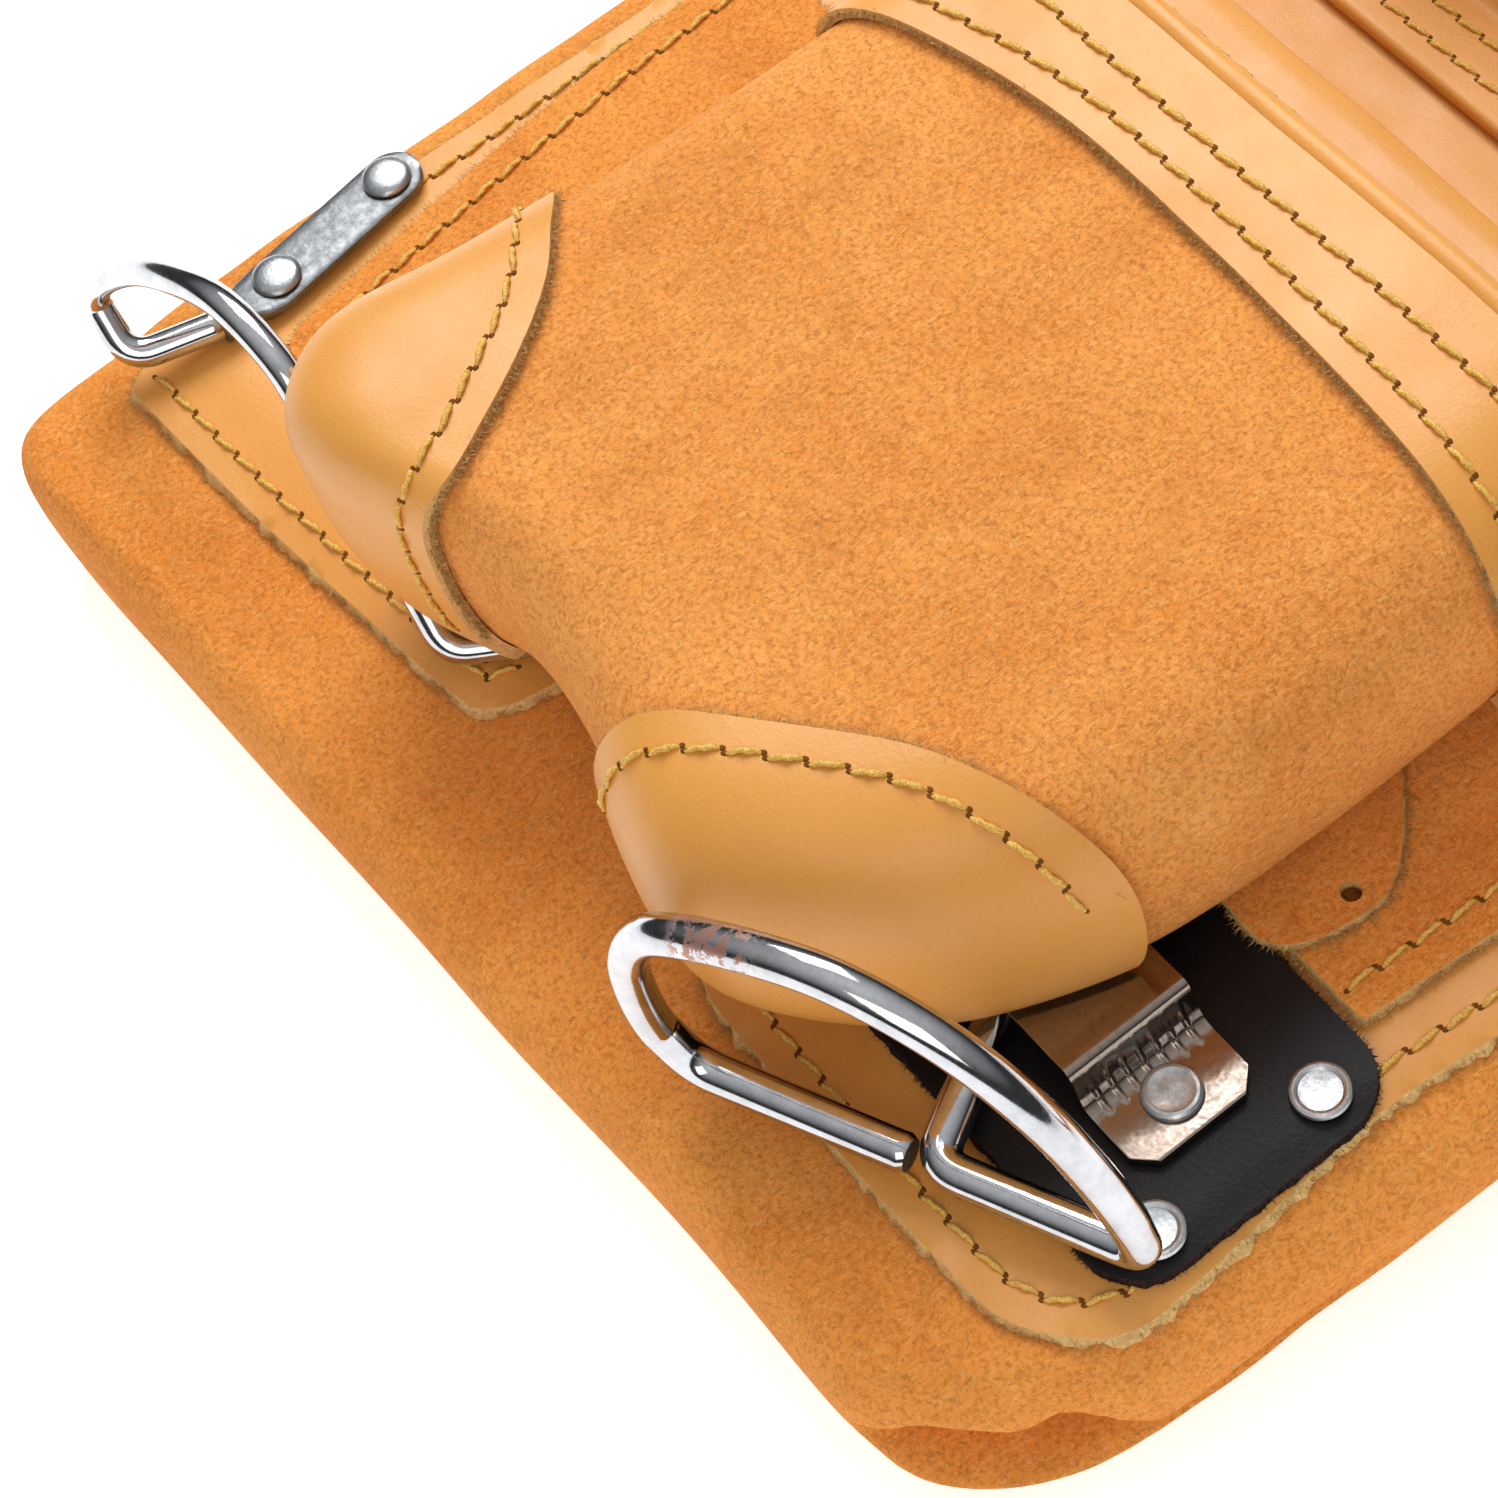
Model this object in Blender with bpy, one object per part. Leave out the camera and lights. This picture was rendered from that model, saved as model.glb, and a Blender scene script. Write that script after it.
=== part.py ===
"""Carpenter's leather tool bag on a waist belt, lying on its back.

Row frame, in metres: X to the bag's right, Y up the bag to the belt tunnel, Z out of the bag's front.
The origin is on the back panel's outer face. Sizes below are in millimetres.
"""
import bpy
import bmesh
from math import atan2, cos, hypot, pi, radians, sin
from mathutils import Matrix, Vector

MM = 0.001
GAP = 0.3                       # air between pieces that touch
BIG = 400.0                     # reach of a cutting block

# ---- bag body -------------------------------------------------------------
PANEL_X = (-124.0, 113.0)       # back panel
PANEL_Y = (-45.0, 233.0)
PANEL_T = 3.0
POCKET_X = (-128.0, 117.0)      # main pocket
POCKET_Y = (-51.0, 133.0)
POCKET_TOP = 28.0
WALL = 2.6                      # suede and its lining
MAIN_CORE = ((-98.0, 87.0), (-21.0, 173.0))
STRIP_T = 1.7                   # smooth reinforcement leather
STRIP_Z = POCKET_TOP + GAP
SKIN_Z = STRIP_Z + STRIP_T + GAP     # first layer on top of the strips
LAYER_T = 2.0

# ---- front pocket ---------------------------------------------------------
MOUTH_Y = 103.0
FRONT_CORE = ((-36.0, 50.0), (12.0, 140.0))
FRONT_OUTLINE = [               # at its widest, from the mouth round the bottom
    (76, 140), (76, 100), (76, 60), (75.5, 30), (72, 12), (64, -6), (52, -21), (38, -28.5), (25, -27.5),
    (12, -23), (0, -21.5), (-15, -23.5), (-30, -27.5), (-43, -28), (-54, -22), (-60, -10), (-62, 8),
    (-61, 30), (-60, 60), (-60, 100), (-60, 140)]
FRONT_LEVELS = [                # (height, inset on the right, inset on the left): the left is undercut
    (36.4, 10, 18), (41, 4, 15), (48, 1, 11), (57, 0, 5), (65, 1, 2), (71, 3.5, 0), (75.5, 7.5, 2),
    (78.5, 13, 7), (80, 20, 15)]
PATCH_LEFT = [(-120, 40), (-62, 36), (-50, 22), (-44, 16), (-32, 6), (-22, -4), (-17, -14), (-15, -24),
              (-15, -60), (-120, -60)]
PATCH_RIGHT = [(17, -60), (17.5, -24.5), (22, -12), (30, -5), (41, -1), (54, 3), (64, 9), (72, 17),
               (80, 24), (120, 24), (120, -60)]
TRIM_T = 2.0                    # smooth leather sewn over the suede
TRIM_GAP = 0.6                  # wide enough to stay open where the pillow's sides slope
BAND_Y = (80.0, 105.0)

# ---- swinging hammer loop -------------------------------------------------
RING_R = 2.9
RING_Z = 36.7
RING_LEFT = Vector((41.6, -36.5))
RING_RIGHT = Vector((103.3, -8.5))
STEM_FOOT = Vector((74.9, -21.4))
PIVOT = Vector((45.5, 27.2))
ARCH_H = 49.0
EYE_R = (2.56, 7.0)
EYE_T = 5.0
PIN_R = 2.5
PLATE_Y = (-1.0, 19.5)
PLATE_X = (17.5, 32.0, 79.0, 93.3)   # left end, raised part, right end
PLATE_T = 1.3
PLATE_TAB_Z = SKIN_Z + LAYER_T + GAP
PLATE_TOP = 41.2

# ---- fixed hammer loop ----------------------------------------------------
LOOP_R = 2.5
LOOP_Z = 33.0
LOOP_FEET = (Vector((-119.4, -30.5)), Vector((-36.3, -23.4)))
LOOP_H = 36.0
LOOP_LEAN = radians(12)
TAB_W = 10.0
TAB_T = 2.0
TABS = (((-114.6, -16.0), (-120.6, 25.0)), ((-31.5, -12.0), (-25.5, 29.0)))

# ---- waist belt -----------------------------------------------------------
BELT_Y = (183.0, 228.0)
BELT_T = 3.5
BELT_LOW = 4.2
BELT_HIGH = 51.7
BELT_TURN_X = 235.0
BUCKLE_X = 20.0                 # heel bar
BUCKLE_REACH = 40.0
BAR_R = 2.3
TIP_X = -45.0
TUNNEL_X = (-100.0, 96.0)
TUNNEL_SEAM_Y = 160.0
TUNNEL_GAP = 6.0
BELT_MID = (BELT_Y[0] + BELT_Y[1]) / 2

MATERIALS = {}
LOOKS = {
    "suede": ((0.62, 0.25, 0.05), 0.0, 0.95),
    "smooth_leather": ((0.74, 0.33, 0.09), 0.0, 0.42),
    "black_leather": ((0.022, 0.018, 0.02), 0.0, 0.45),
    "belt_leather": ((0.60, 0.26, 0.07), 0.0, 0.45),
    "chromed_steel": ((0.80, 0.80, 0.81), 1.0, 0.10),
    "nickel_plate": ((0.72, 0.70, 0.67), 1.0, 0.16),
    "zinc_rivet": ((0.62, 0.63, 0.64), 1.0, 0.32),
}


# ---- helpers --------------------------------------------------------------
def clear_scene():
    for obj in list(bpy.data.objects):
        bpy.data.objects.remove(obj, do_unlink=True)


def material(node, look):
    colour, metallic, rough = LOOKS[look]
    mat = bpy.data.materials.new(node + "_" + look)
    mat.use_nodes = True
    shader = mat.node_tree.nodes["Principled BSDF"]
    shader.inputs["Base Color"].default_value = (*colour, 1.0)
    shader.inputs["Metallic"].default_value = metallic
    shader.inputs["Roughness"].default_value = rough
    mat.diffuse_color = (*colour, 1.0)
    return mat


def make_object(name, bm, look=None, smooth=40.0):
    """Turn a bmesh in millimetres into an object in metres."""
    bmesh.ops.recalc_face_normals(bm, faces=bm.faces)
    bmesh.ops.scale(bm, vec=(MM, MM, MM), verts=bm.verts)
    mesh = bpy.data.meshes.new(name)
    bm.to_mesh(mesh)
    bm.free()
    obj = bpy.data.objects.new(name, mesh)
    bpy.context.collection.objects.link(obj)
    if look:
        obj.data.materials.append(material(name, look))
    for poly in mesh.polygons:
        poly.use_smooth = True
    mesh.set_sharp_from_angle(angle=radians(smooth))
    return obj


def rings_to_solid(rings, closed=False):
    """Join equal rings of points in order, with end caps unless the path is closed."""
    bm = bmesh.new()
    rows = [[bm.verts.new(p) for p in ring] for ring in rings]
    count = len(rows[0])
    pairs = list(zip(rows, rows[1:]))
    if closed:
        pairs.append((rows[-1], rows[0]))
    for low, high in pairs:
        for i in range(count):
            j = (i + 1) % count
            bm.faces.new((low[i], low[j], high[j], high[i]))
    if not closed:
        bm.faces.new(rows[0])
        bm.faces.new(rows[-1])
    return bm


def prism(outline, z0, z1):
    """Upright block on a plan outline."""
    return rings_to_solid([[(x, y, z) for x, y in outline] for z in (z0, z1)])


def side_prism(profile, x0, x1):
    """Block whose (y, z) profile runs along X."""
    return rings_to_solid([[(x, y, z) for y, z in profile] for x in (x0, x1)])


def front_prism(profile, y0, y1):
    """Block whose (x, z) profile runs along Y."""
    return rings_to_solid([[(x, y, z) for x, z in profile] for y in (y0, y1)])


def box(x, y, z):
    return prism([(x[0], y[0]), (x[1], y[0]), (x[1], y[1]), (x[0], y[1])], *z)


def disc(centre, radius, z0, z1, steps=24, dome=0.0):
    """Round cap or pin along Z, with an optional domed top."""
    x, y = centre
    angles = [2 * pi * i / steps for i in range(steps)]
    levels = [(z0, radius), (z1 - dome, radius)]
    if dome:
        levels += [(z1 - dome * 0.35, radius * 0.86), (z1, radius * 0.55)]
    return rings_to_solid([[(x + r * cos(a), y + r * sin(a), z) for a in angles] for z, r in levels])


def fillet(points, radius, steps=4):
    """Round the inner corners of an open 3-D path with arcs."""
    path = [Vector(points[0])]
    for before, here, after in zip(points, points[1:], points[2:]):
        here = Vector(here)
        a = (Vector(before) - here)
        b = (Vector(after) - here)
        reach = min(radius, 0.45 * a.length, 0.45 * b.length)
        start = here + a.normalized() * reach
        end = here + b.normalized() * reach
        for i in range(steps + 1):
            t = i / steps
            path.append(start * (1 - t) ** 2 + here * 2 * t * (1 - t) + end * t ** 2)
    path.append(Vector(points[-1]))
    return path


def tube(path, radius, sides=14, closed=False):
    """Round wire swept along a path without twisting."""
    path = [Vector(p) for p in path]
    count = len(path)
    rings = []
    side = None
    for i, here in enumerate(path):
        ahead = path[(i + 1) % count] if closed or i + 1 < count else here
        behind = path[i - 1] if closed or i else here
        along = (ahead - behind).normalized()
        if side is None:
            side = along.orthogonal().normalized()
        side = (side - along * side.dot(along)).normalized()
        other = along.cross(side)
        rings.append([here + (side * cos(2 * pi * k / sides) + other * sin(2 * pi * k / sides)) * radius
                      for k in range(sides)])
    return rings_to_solid(rings, closed)


def rounded_rect(x, y, radius, steps=5):
    """Plan outline with four rounded corners."""
    points = []
    corners = ((x[1], y[0], -90), (x[1], y[1], 0), (x[0], y[1], 90), (x[0], y[0], 180))
    for cx, cy, turn in corners:
        ox = cx - radius if cx == x[1] else cx + radius
        oy = cy + radius if cy == y[0] else cy - radius
        for i in range(steps + 1):
            a = radians(turn + 90 * i / steps)
            points.append((ox + radius * cos(a), oy + radius * sin(a)))
    return points


def spline(points, steps=3):
    """Smooth open curve through plan points."""
    ends = [points[0]] + list(points) + [points[-1]]
    out = []
    for p0, p1, p2, p3 in zip(ends, ends[1:], ends[2:], ends[3:]):
        for i in range(steps):
            t = i / steps
            out.append(tuple(0.5 * (2 * b + (c - a) * t + (2 * a - 5 * b + 4 * c - d) * t ** 2
                                    + (3 * b - a - 3 * c + d) * t ** 3)
                             for a, b, c, d in zip(p0, p1, p2, p3)))
    out.append(tuple(points[-1]))
    return out


def inset(outline, right, left, core):
    """Move a plan outline towards a core rectangle by one amount on each side; negative grows it."""
    (x0, x1), (y0, y1) = core
    moved = []
    for x, y in outline:
        dx = min(max(x, x0), x1) - x
        dy = min(max(y, y0), y1) - y
        share = min(max((x - x0) / (x1 - x0), 0), 1)
        amount = (left + (right - left) * share) / hypot(dx, dy)
        moved.append((x + dx * amount, y + dy * amount))
    return moved


def pillow(outline, levels, core, grow=0.0):
    """Stack of insets of one outline: levels are (z, inset right, inset left)."""
    middle = (levels[0][0] + levels[-1][0]) / 2
    half = (levels[-1][0] - levels[0][0]) / 2
    rings = []
    for z, right, left in levels:
        height = middle + (z - middle) * (half + grow) / half
        rings.append([(x, y, height) for x, y in inset(outline, right - grow, left - grow, core)])
    return rings_to_solid(rings)


def boolean(target, cutter_bm, operation="DIFFERENCE"):
    """Apply one exact Boolean with a throwaway cutter."""
    cutter = make_object("cutter", cutter_bm)
    mod = target.modifiers.new("cut", "BOOLEAN")
    mod.operation = operation
    mod.solver = "EXACT"
    mod.object = cutter
    graph = bpy.context.evaluated_depsgraph_get()
    mesh = bpy.data.meshes.new_from_object(target.evaluated_get(graph))
    target.modifiers.clear()
    old = target.data
    target.data = mesh
    bpy.data.meshes.remove(old)
    bpy.data.objects.remove(cutter, do_unlink=True)
    return target


def finish_smooth(obj, angle=40.0):
    for poly in obj.data.polygons:
        poly.use_smooth = True
    obj.data.set_sharp_from_angle(angle=radians(angle))


def rivets(name, centres, seat, radius, height):
    """Domed caps, one object each."""
    for i, centre in enumerate(centres):
        make_object(f"{name}_{i + 1}", disc(centre, radius, seat, seat + height, 20, height / 2), "zinc_rivet")


def union(name, look, parts):
    """One solid made of several overlapping ones."""
    obj = make_object(name, parts[0], look)
    for bm in parts[1:]:
        boolean(obj, bm, "UNION")
    finish_smooth(obj)
    return obj


# ---- bag body -------------------------------------------------------------
MAIN_LEVELS = [(z, i, i) for z, i in ((3.3, 6.0), (8, 2.0), (14, 0.0), (20, 0.5), (25, 3.5), (POCKET_TOP, 9.0))]
MAIN_INNER = [(z, i + WALL, i + WALL) for z, i in ((-8, 6), (3.3, 6), (8, 2), (14, 0), (20, 0.5), (POCKET_TOP - WALL, 6))]


def main_outline():
    return rounded_rect(POCKET_X, (POCKET_Y[0], POCKET_Y[1] + 40), 26, 6)


def build_bag_body():
    make_object("back_panel", prism(rounded_rect(PANEL_X, PANEL_Y, 18), 0, PANEL_T), "smooth_leather")
    pocket = make_object("main_pocket", pillow(main_outline(), MAIN_LEVELS, MAIN_CORE), "suede")
    boolean(pocket, pillow(main_outline(), MAIN_INNER, MAIN_CORE))
    boolean(pocket, box((-BIG, BIG), (POCKET_Y[1], BIG), (-BIG, BIG)))
    finish_smooth(pocket)
    lip = [(108, STRIP_Z), (108, 30.0), (134, 30.3), (137.3, 29), (138, 26), (136.5, 23.4), (133.3, 23.4),
           (133.3, STRIP_Z)]
    make_object("main_pocket_band", side_prism(lip, -110, 106), "smooth_leather")


def build_strips():
    top = STRIP_Z + STRIP_T
    left = spline([(-119.5, 107), (-120, 60), (-121.5, 20), (-121.5, -20), (-119.5, -32.7)])
    left += spline([(-90, -31), (-60, -28.5), (-36, -26.6), (-28.8, -24), (-25.9, -14), (-24, 10)])
    left += [(-22, 107)]
    make_object("left_strip", prism(left, STRIP_Z, top), "smooth_leather")
    right = [(24, 107)] + spline([(24, 20), (24.5, -18), (28.5, -27.9), (45, -28.6), (70, -28.6), (92, -27.6)])
    right += spline([(102.2, -22.3), (107, -15), (107.4, -5), (105.2, 29), (107.8, 60), (107.5, 107)])
    make_object("right_strip", prism(right, STRIP_Z, top), "smooth_leather")


def build_flanges():
    top = SKIN_Z + LAYER_T
    left = [(-107, -12), (-60, -12), (-60, 76), (-116, 76), (-112.5, 33)]
    make_object("left_flange", prism(left, SKIN_Z, top), "suede")
    right = [(60, 35.5), (94.6, 35.5), (96.4, 57.2), (98, 76), (60, 76)]
    make_object("right_flange", prism(right, SKIN_Z, top), "suede")
    low = top + 0.2
    outline = [(62, 64), (62, 36)] + spline([(68, 32.8), (77, 32.8), (81.6, 37.5), (83.3, 45.6)])
    outline += [(86, 64)]
    tongue = make_object("gusset_tongue", prism(outline, low, low + 1.3), "suede")
    boolean(tongue, disc((79.6, 46.5), 1.6, low - 5, low + 5, 16))
    finish_smooth(tongue)


# ---- front pocket ---------------------------------------------------------
SHELF_RIGHT = ((11, 120), (-60, 38), (0, 41.6))     # room for the hammer loop's pivot and plate


def shelf(grow=0.0):
    (x0, x1), (y0, y1), (z0, z1) = SHELF_RIGHT
    return box((x0 - grow, x1), (y0, y1 + grow), (z0, z1 + grow))


def build_front_pocket():
    outline = spline(FRONT_OUTLINE, 2)
    mouth = box((-BIG, BIG), (MOUTH_Y, BIG), (-BIG, BIG))
    pocket = make_object("front_pocket", pillow(outline, FRONT_LEVELS, FRONT_CORE), "suede")
    boolean(pocket, shelf())
    inner = make_object("inner", pillow(outline, FRONT_LEVELS, FRONT_CORE, -WALL))
    boolean(inner, shelf(WALL))
    cavity = bmesh.new()
    cavity.from_mesh(inner.data)
    bmesh.ops.scale(cavity, vec=(1 / MM, 1 / MM, 1 / MM), verts=cavity.verts)
    bpy.data.objects.remove(inner, do_unlink=True)
    boolean(pocket, cavity)
    boolean(pocket, mouth)
    finish_smooth(pocket)


def trim_piece(name, region):
    """Smooth leather skin over part of the front pocket."""
    outline = spline(FRONT_OUTLINE, 2)
    obj = make_object(name, pillow(outline, FRONT_LEVELS, FRONT_CORE, TRIM_GAP + TRIM_T), "smooth_leather")
    boolean(obj, pillow(outline, FRONT_LEVELS, FRONT_CORE, TRIM_GAP))
    boolean(obj, region, "INTERSECT")
    finish_smooth(obj)


def build_trim():
    trim_piece("front_pocket_band", box((-BIG, BIG), BAND_Y, (44, BIG)))
    trim_piece("left_corner_patch", prism(PATCH_LEFT, 37.5, 140))
    trim_piece("right_corner_patch", prism(PATCH_RIGHT, 43.0, 140))


# ---- swinging hammer loop -------------------------------------------------
PATCH_RIVETS = [(99.1, 24.3), (99.9, -4.7), (8.5, 24.3), (8.5, -4.7)]
PLATE_RIVETS = [(86.8, 9.3), (24.0, 9.3)]


def build_loop_mount():
    top = SKIN_Z + LAYER_T
    outline = rounded_rect((2.5, 105.5), (-14, 33.5), 9)
    make_object("black_patch", prism(outline, SKIN_Z, top), "black_leather")
    rivets("patch_rivet", PATCH_RIVETS, top + 0.2, 4.2, 0.8)
    a, b, c, d = PLATE_X
    low, high = PLATE_TAB_Z, PLATE_TOP
    t = PLATE_T
    upper = [(a, low + t), (b - 1, low + t), (b, high), (c, high), (c + 1, low + t), (d, low + t)]
    under = [(d, low), (c - t + 1, low), (c - t, high - t), (b + t, high - t), (b + t - 1, low), (a, low)]
    plate = make_object("keeper_plate", front_prism(upper + under, *PLATE_Y), "nickel_plate")
    corner = 3.0
    for x, way in ((a, 1), (d, -1)):
        for y, up in ((PLATE_Y[0], 1), (PLATE_Y[1], -1)):
            cut = [(x - way, y - up), (x + way * corner, y - up), (x - way, y + up * corner)]
            boolean(plate, prism(cut, 0, BIG))
    finish_smooth(plate)
    seat = low + t + 0.2
    rivets("keeper_rivet", PLATE_RIVETS, seat, 4.3, 1.2)
    base = top + 0.2
    pin = union("swing_pivot_rivet", "zinc_rivet", [
        disc(PIVOT, 4.6, base, RING_Z - EYE_T / 2 - GAP, 24), disc(PIVOT, PIN_R, base, 40.9, 32),
        disc(PIVOT, 5.2, RING_Z + EYE_T / 2 + GAP, 41.0, 24)])
    return pin


def arch_points():
    """The arch over the chord, upright, a little fuller on its left side."""
    chord = RING_RIGHT - RING_LEFT
    shape = [(0.0, 0.0), (-0.055, 0.13), (-0.075, 0.33), (-0.055, 0.58), (0.02, 0.79), (0.14, 0.90),
             (0.30, 0.975), (0.45, 1.0), (0.60, 0.945), (0.73, 0.83), (0.85, 0.63), (0.93, 0.40),
             (0.98, 0.18), (1.0, 0.0)]
    points = []
    for s, h in spline(shape, 2):
        p = RING_LEFT + chord * s
        points.append(Vector((p.x, p.y, RING_Z + ARCH_H * h)))
    return points


def build_swing_loop():
    chord = (RING_RIGHT - RING_LEFT).normalized()
    stem = (PIVOT - STEM_FOOT).normalized()
    end = STEM_FOOT - chord * 3.4
    start = Vector((*end, RING_Z))
    arch = arch_points()
    left = fillet([start, arch[0], arch[3]], 4.5)
    right = fillet([arch[-4], arch[-1], Vector((*STEM_FOOT, RING_Z)), Vector((*(PIVOT - stem * 5), RING_Z))], 4.5)
    wire = tube(left[:-1] + arch[3:-3] + right[1:], RING_R)
    obj = union("swing_hammer_loop", "chromed_steel",
                [wire, disc(PIVOT, EYE_R[1], RING_Z - EYE_T / 2, RING_Z + EYE_T / 2, 32)])
    boolean(obj, disc(PIVOT, EYE_R[0], 0, BIG, 32))
    finish_smooth(obj)


# ---- fixed hammer loop ----------------------------------------------------
def build_fixed_loop():
    foot_a, foot_b = LOOP_FEET
    chord = foot_b - foot_a
    across = Vector((-chord.y, chord.x)).normalized()
    up = Vector((across.x * sin(LOOP_LEAN), across.y * sin(LOOP_LEAN), cos(LOOP_LEAN)))
    base = Vector((*foot_a, LOOP_Z))
    chord3 = Vector((*chord, 0))
    shape = [(0.0, 0.0), (-0.078, 0.16), (-0.055, 0.37), (0.09, 0.69), (0.24, 0.89), (0.385, 1.0),
             (0.52, 0.96), (0.60, 0.84), (0.76, 0.45), (0.84, 0.31), (0.90, 0.17), (0.96, 0.0)]
    arch = [base + chord3 * s + up * (LOOP_H * h) for s, h in spline(shape, 2)]
    (ax, ay), (bx, by) = TABS[0][0], TABS[1][0]
    start = fillet([Vector((ax, ay, LOOP_Z)), arch[0], arch[3]], 6)
    end = fillet([arch[-4], arch[-1], Vector((bx, by, LOOP_Z))], 6)
    wire = tube(start[:-1] + arch[3:-3] + end[1:], LOOP_R)
    parts = [wire] + [flat_tab(*tab) for tab in TABS]
    union("fixed_hammer_loop", "chromed_steel", parts)
    seat = SKIN_Z + 0.2 + TAB_T + 0.2
    centres = [(x0 + (x1 - x0) * t, y0 + (y1 - y0) * t) for (x0, y0), (x1, y1) in TABS for t in (0.28, 0.86)]
    rivets("fixed_loop_rivet", centres, seat, 4.0, 1.0)


def flat_tab(low, high):
    """Flattened end of the wire: a strip with a round far end."""
    low, high = Vector(low), Vector(high)
    along = (high - low).normalized()
    side = Vector((-along.y, along.x))
    half = TAB_W / 2
    points = [low - side * 2.3 - along, low + along * 8 - side * half]
    for i in range(9):
        a = -pi / 2 + pi * i / 8
        points.append(high - along * half + along * (half * cos(a)) + side * (half * sin(a)))
    points += [low + along * 8 + side * half, low + side * 2.3 - along]
    z = SKIN_Z + 0.2
    return prism([tuple(p) for p in points], z, z + TAB_T)


# ---- belt -----------------------------------------------------------------
def build_tunnel():
    floor = PANEL_T + GAP
    roof = PANEL_T + TUNNEL_GAP
    top = roof + PANEL_T
    fold = PANEL_Y[1] + GAP
    mid = (PANEL_T + roof) / 2
    outer = [(fold + mid * sin(radians(d)), mid - mid * cos(radians(d))) for d in range(0, 181, 20)]
    inner = [(fold + (mid - PANEL_T) * sin(radians(d)), mid - (mid - PANEL_T) * cos(radians(d)))
             for d in range(180, -1, -20)]
    profile = outer + [(182, top), (176, floor + PANEL_T), (TUNNEL_SEAM_Y, floor + PANEL_T),
                       (TUNNEL_SEAM_Y, floor), (177, floor), (183, roof)] + inner
    make_object("belt_tunnel", side_prism(profile, *TUNNEL_X), "smooth_leather")


def belt_path():
    """Middle line of the strap in (x, z), from its folded buckle end round to the tip."""
    low = BELT_LOW + BELT_T / 2
    high = BELT_HIGH + BELT_T / 2
    mid, r = (low + high) / 2, (high - low) / 2
    fold_r = BAR_R + GAP + BELT_T / 2
    bar = high - fold_r
    path = [(78, high - BELT_T - 0.4), (46, high - BELT_T - 0.4), (34, bar - fold_r), (26, bar - fold_r)]
    path += [(BUCKLE_X - fold_r * sin(radians(a)), bar - fold_r * cos(radians(a))) for a in range(0, 181, 30)]
    path += [(BELT_TURN_X + r * sin(radians(a)), mid + r * cos(radians(a))) for a in range(0, 181, 12)]
    path += [(-BELT_TURN_X - r * sin(radians(a)), mid - r * cos(radians(a))) for a in range(0, 181, 12)]
    path += [(TIP_X, high)]
    return path, bar


def ribbon(path, thick):
    """Closed outline of a strip of one thickness along a (x, z) line."""
    left, right = [], []
    for i, (x, z) in enumerate(path):
        ax, az = path[max(i - 1, 0)]
        bx, bz = path[min(i + 1, len(path) - 1)]
        dx, dz = bx - ax, bz - az
        size = hypot(dx, dz)
        ox, oz = -dz / size * thick / 2, dx / size * thick / 2
        left.append((x + ox, z + oz))
        right.append((x - ox, z - oz))
    return left + right[::-1]


def build_belt():
    path, bar = belt_path()
    strap = make_object("belt_strap", front_prism(ribbon(path, BELT_T), *BELT_Y), "belt_leather")
    boolean(strap, box((BUCKLE_X - 12, BUCKLE_X + 14), (BELT_MID - 4.5, BELT_MID + 4.5), (bar - 12, BIG)))
    for i in range(5):
        boolean(strap, disc((TIP_X - 40 - 25 * i, BELT_MID), 2.6, 30, 80, 20))
    for y, up in ((BELT_Y[0], 1), (BELT_Y[1], -1)):
        cut = [(TIP_X + 1, y - up), (TIP_X + 1, y + up * 14), (TIP_X - 4, y + up * 7), (TIP_X - 15, y),
               (TIP_X - 15, y - up)]
        boolean(strap, prism(cut, 30, 80))
    finish_smooth(strap)
    z = BELT_HIGH + BELT_T
    rivets("belt_rivet", [(62, BELT_MID - 12), (62, BELT_MID + 12)], z + 0.2, 4.0, 1.0)
    build_buckle(bar)
    build_keeper()


def build_buckle(bar):
    front = BUCKLE_X - BUCKLE_REACH
    half = (BELT_Y[1] - BELT_Y[0]) / 2 + 5.5
    corners = [(BUCKLE_X, -half), (BUCKLE_X, half), (front, half), (front, -half)]
    loop = corners[-1:] + corners + corners[:1]
    path = fillet([Vector((x, BELT_MID + y, bar)) for x, y in loop], 5, 5)[1:-1]
    make_object("buckle_frame", tube(path, BAR_R, 14, True), "nickel_plate")
    along_y = Matrix.Rotation(radians(-90), 4, "X")
    roller = sleeve(BAR_R + 0.3, 4.2, 40)
    bmesh.ops.transform(roller, matrix=Matrix.Translation((front, BELT_MID, bar)) @ along_y, verts=roller.verts)
    make_object("buckle_roller", roller, "nickel_plate")
    ring = sleeve(BAR_R + 0.1, 5.2, 6)
    bmesh.ops.transform(ring, matrix=Matrix.Translation((BUCKLE_X, BELT_MID, bar)) @ along_y, verts=ring.verts)
    rest = bar + 4.2 + GAP + 1.9
    rod = tube([(BUCKLE_X - 3.4, BELT_MID, bar + 2.2), (BUCKLE_X - 12, BELT_MID, bar + 4.6),
                (front, BELT_MID, rest), (front - 6, BELT_MID, rest - 0.6)], 1.9, 12)
    union("buckle_prong", "nickel_plate", [ring, rod])


def sleeve(inner, outer, length, sides=24):
    """Hollow cylinder about Z, centred on the origin."""
    bm = bmesh.new()
    rings = []
    for r, z in ((inner, -length / 2), (outer, -length / 2), (outer, length / 2), (inner, length / 2)):
        rings.append([bm.verts.new((r * cos(2 * pi * i / sides), r * sin(2 * pi * i / sides), z))
                      for i in range(sides)])
    for a, b in zip(rings, rings[1:] + rings[:1]):
        for i in range(sides):
            j = (i + 1) % sides
            bm.faces.new((a[i], a[j], b[j], b[i]))
    return bm


def build_keeper():
    x = (90.0, 103.0)
    y = (BELT_Y[0] - 0.8, BELT_Y[1] + 0.8)
    z = (BELT_HIGH - BELT_T - 1.2, BELT_HIGH + BELT_T + 0.8)
    keeper = make_object("belt_keeper", box(x, (y[0] - 2.2, y[1] + 2.2), (z[0] - 2.2, z[1] + 2.2)),
                         "belt_leather")
    boolean(keeper, box((-BIG, BIG), y, z))
    finish_smooth(keeper)


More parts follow.
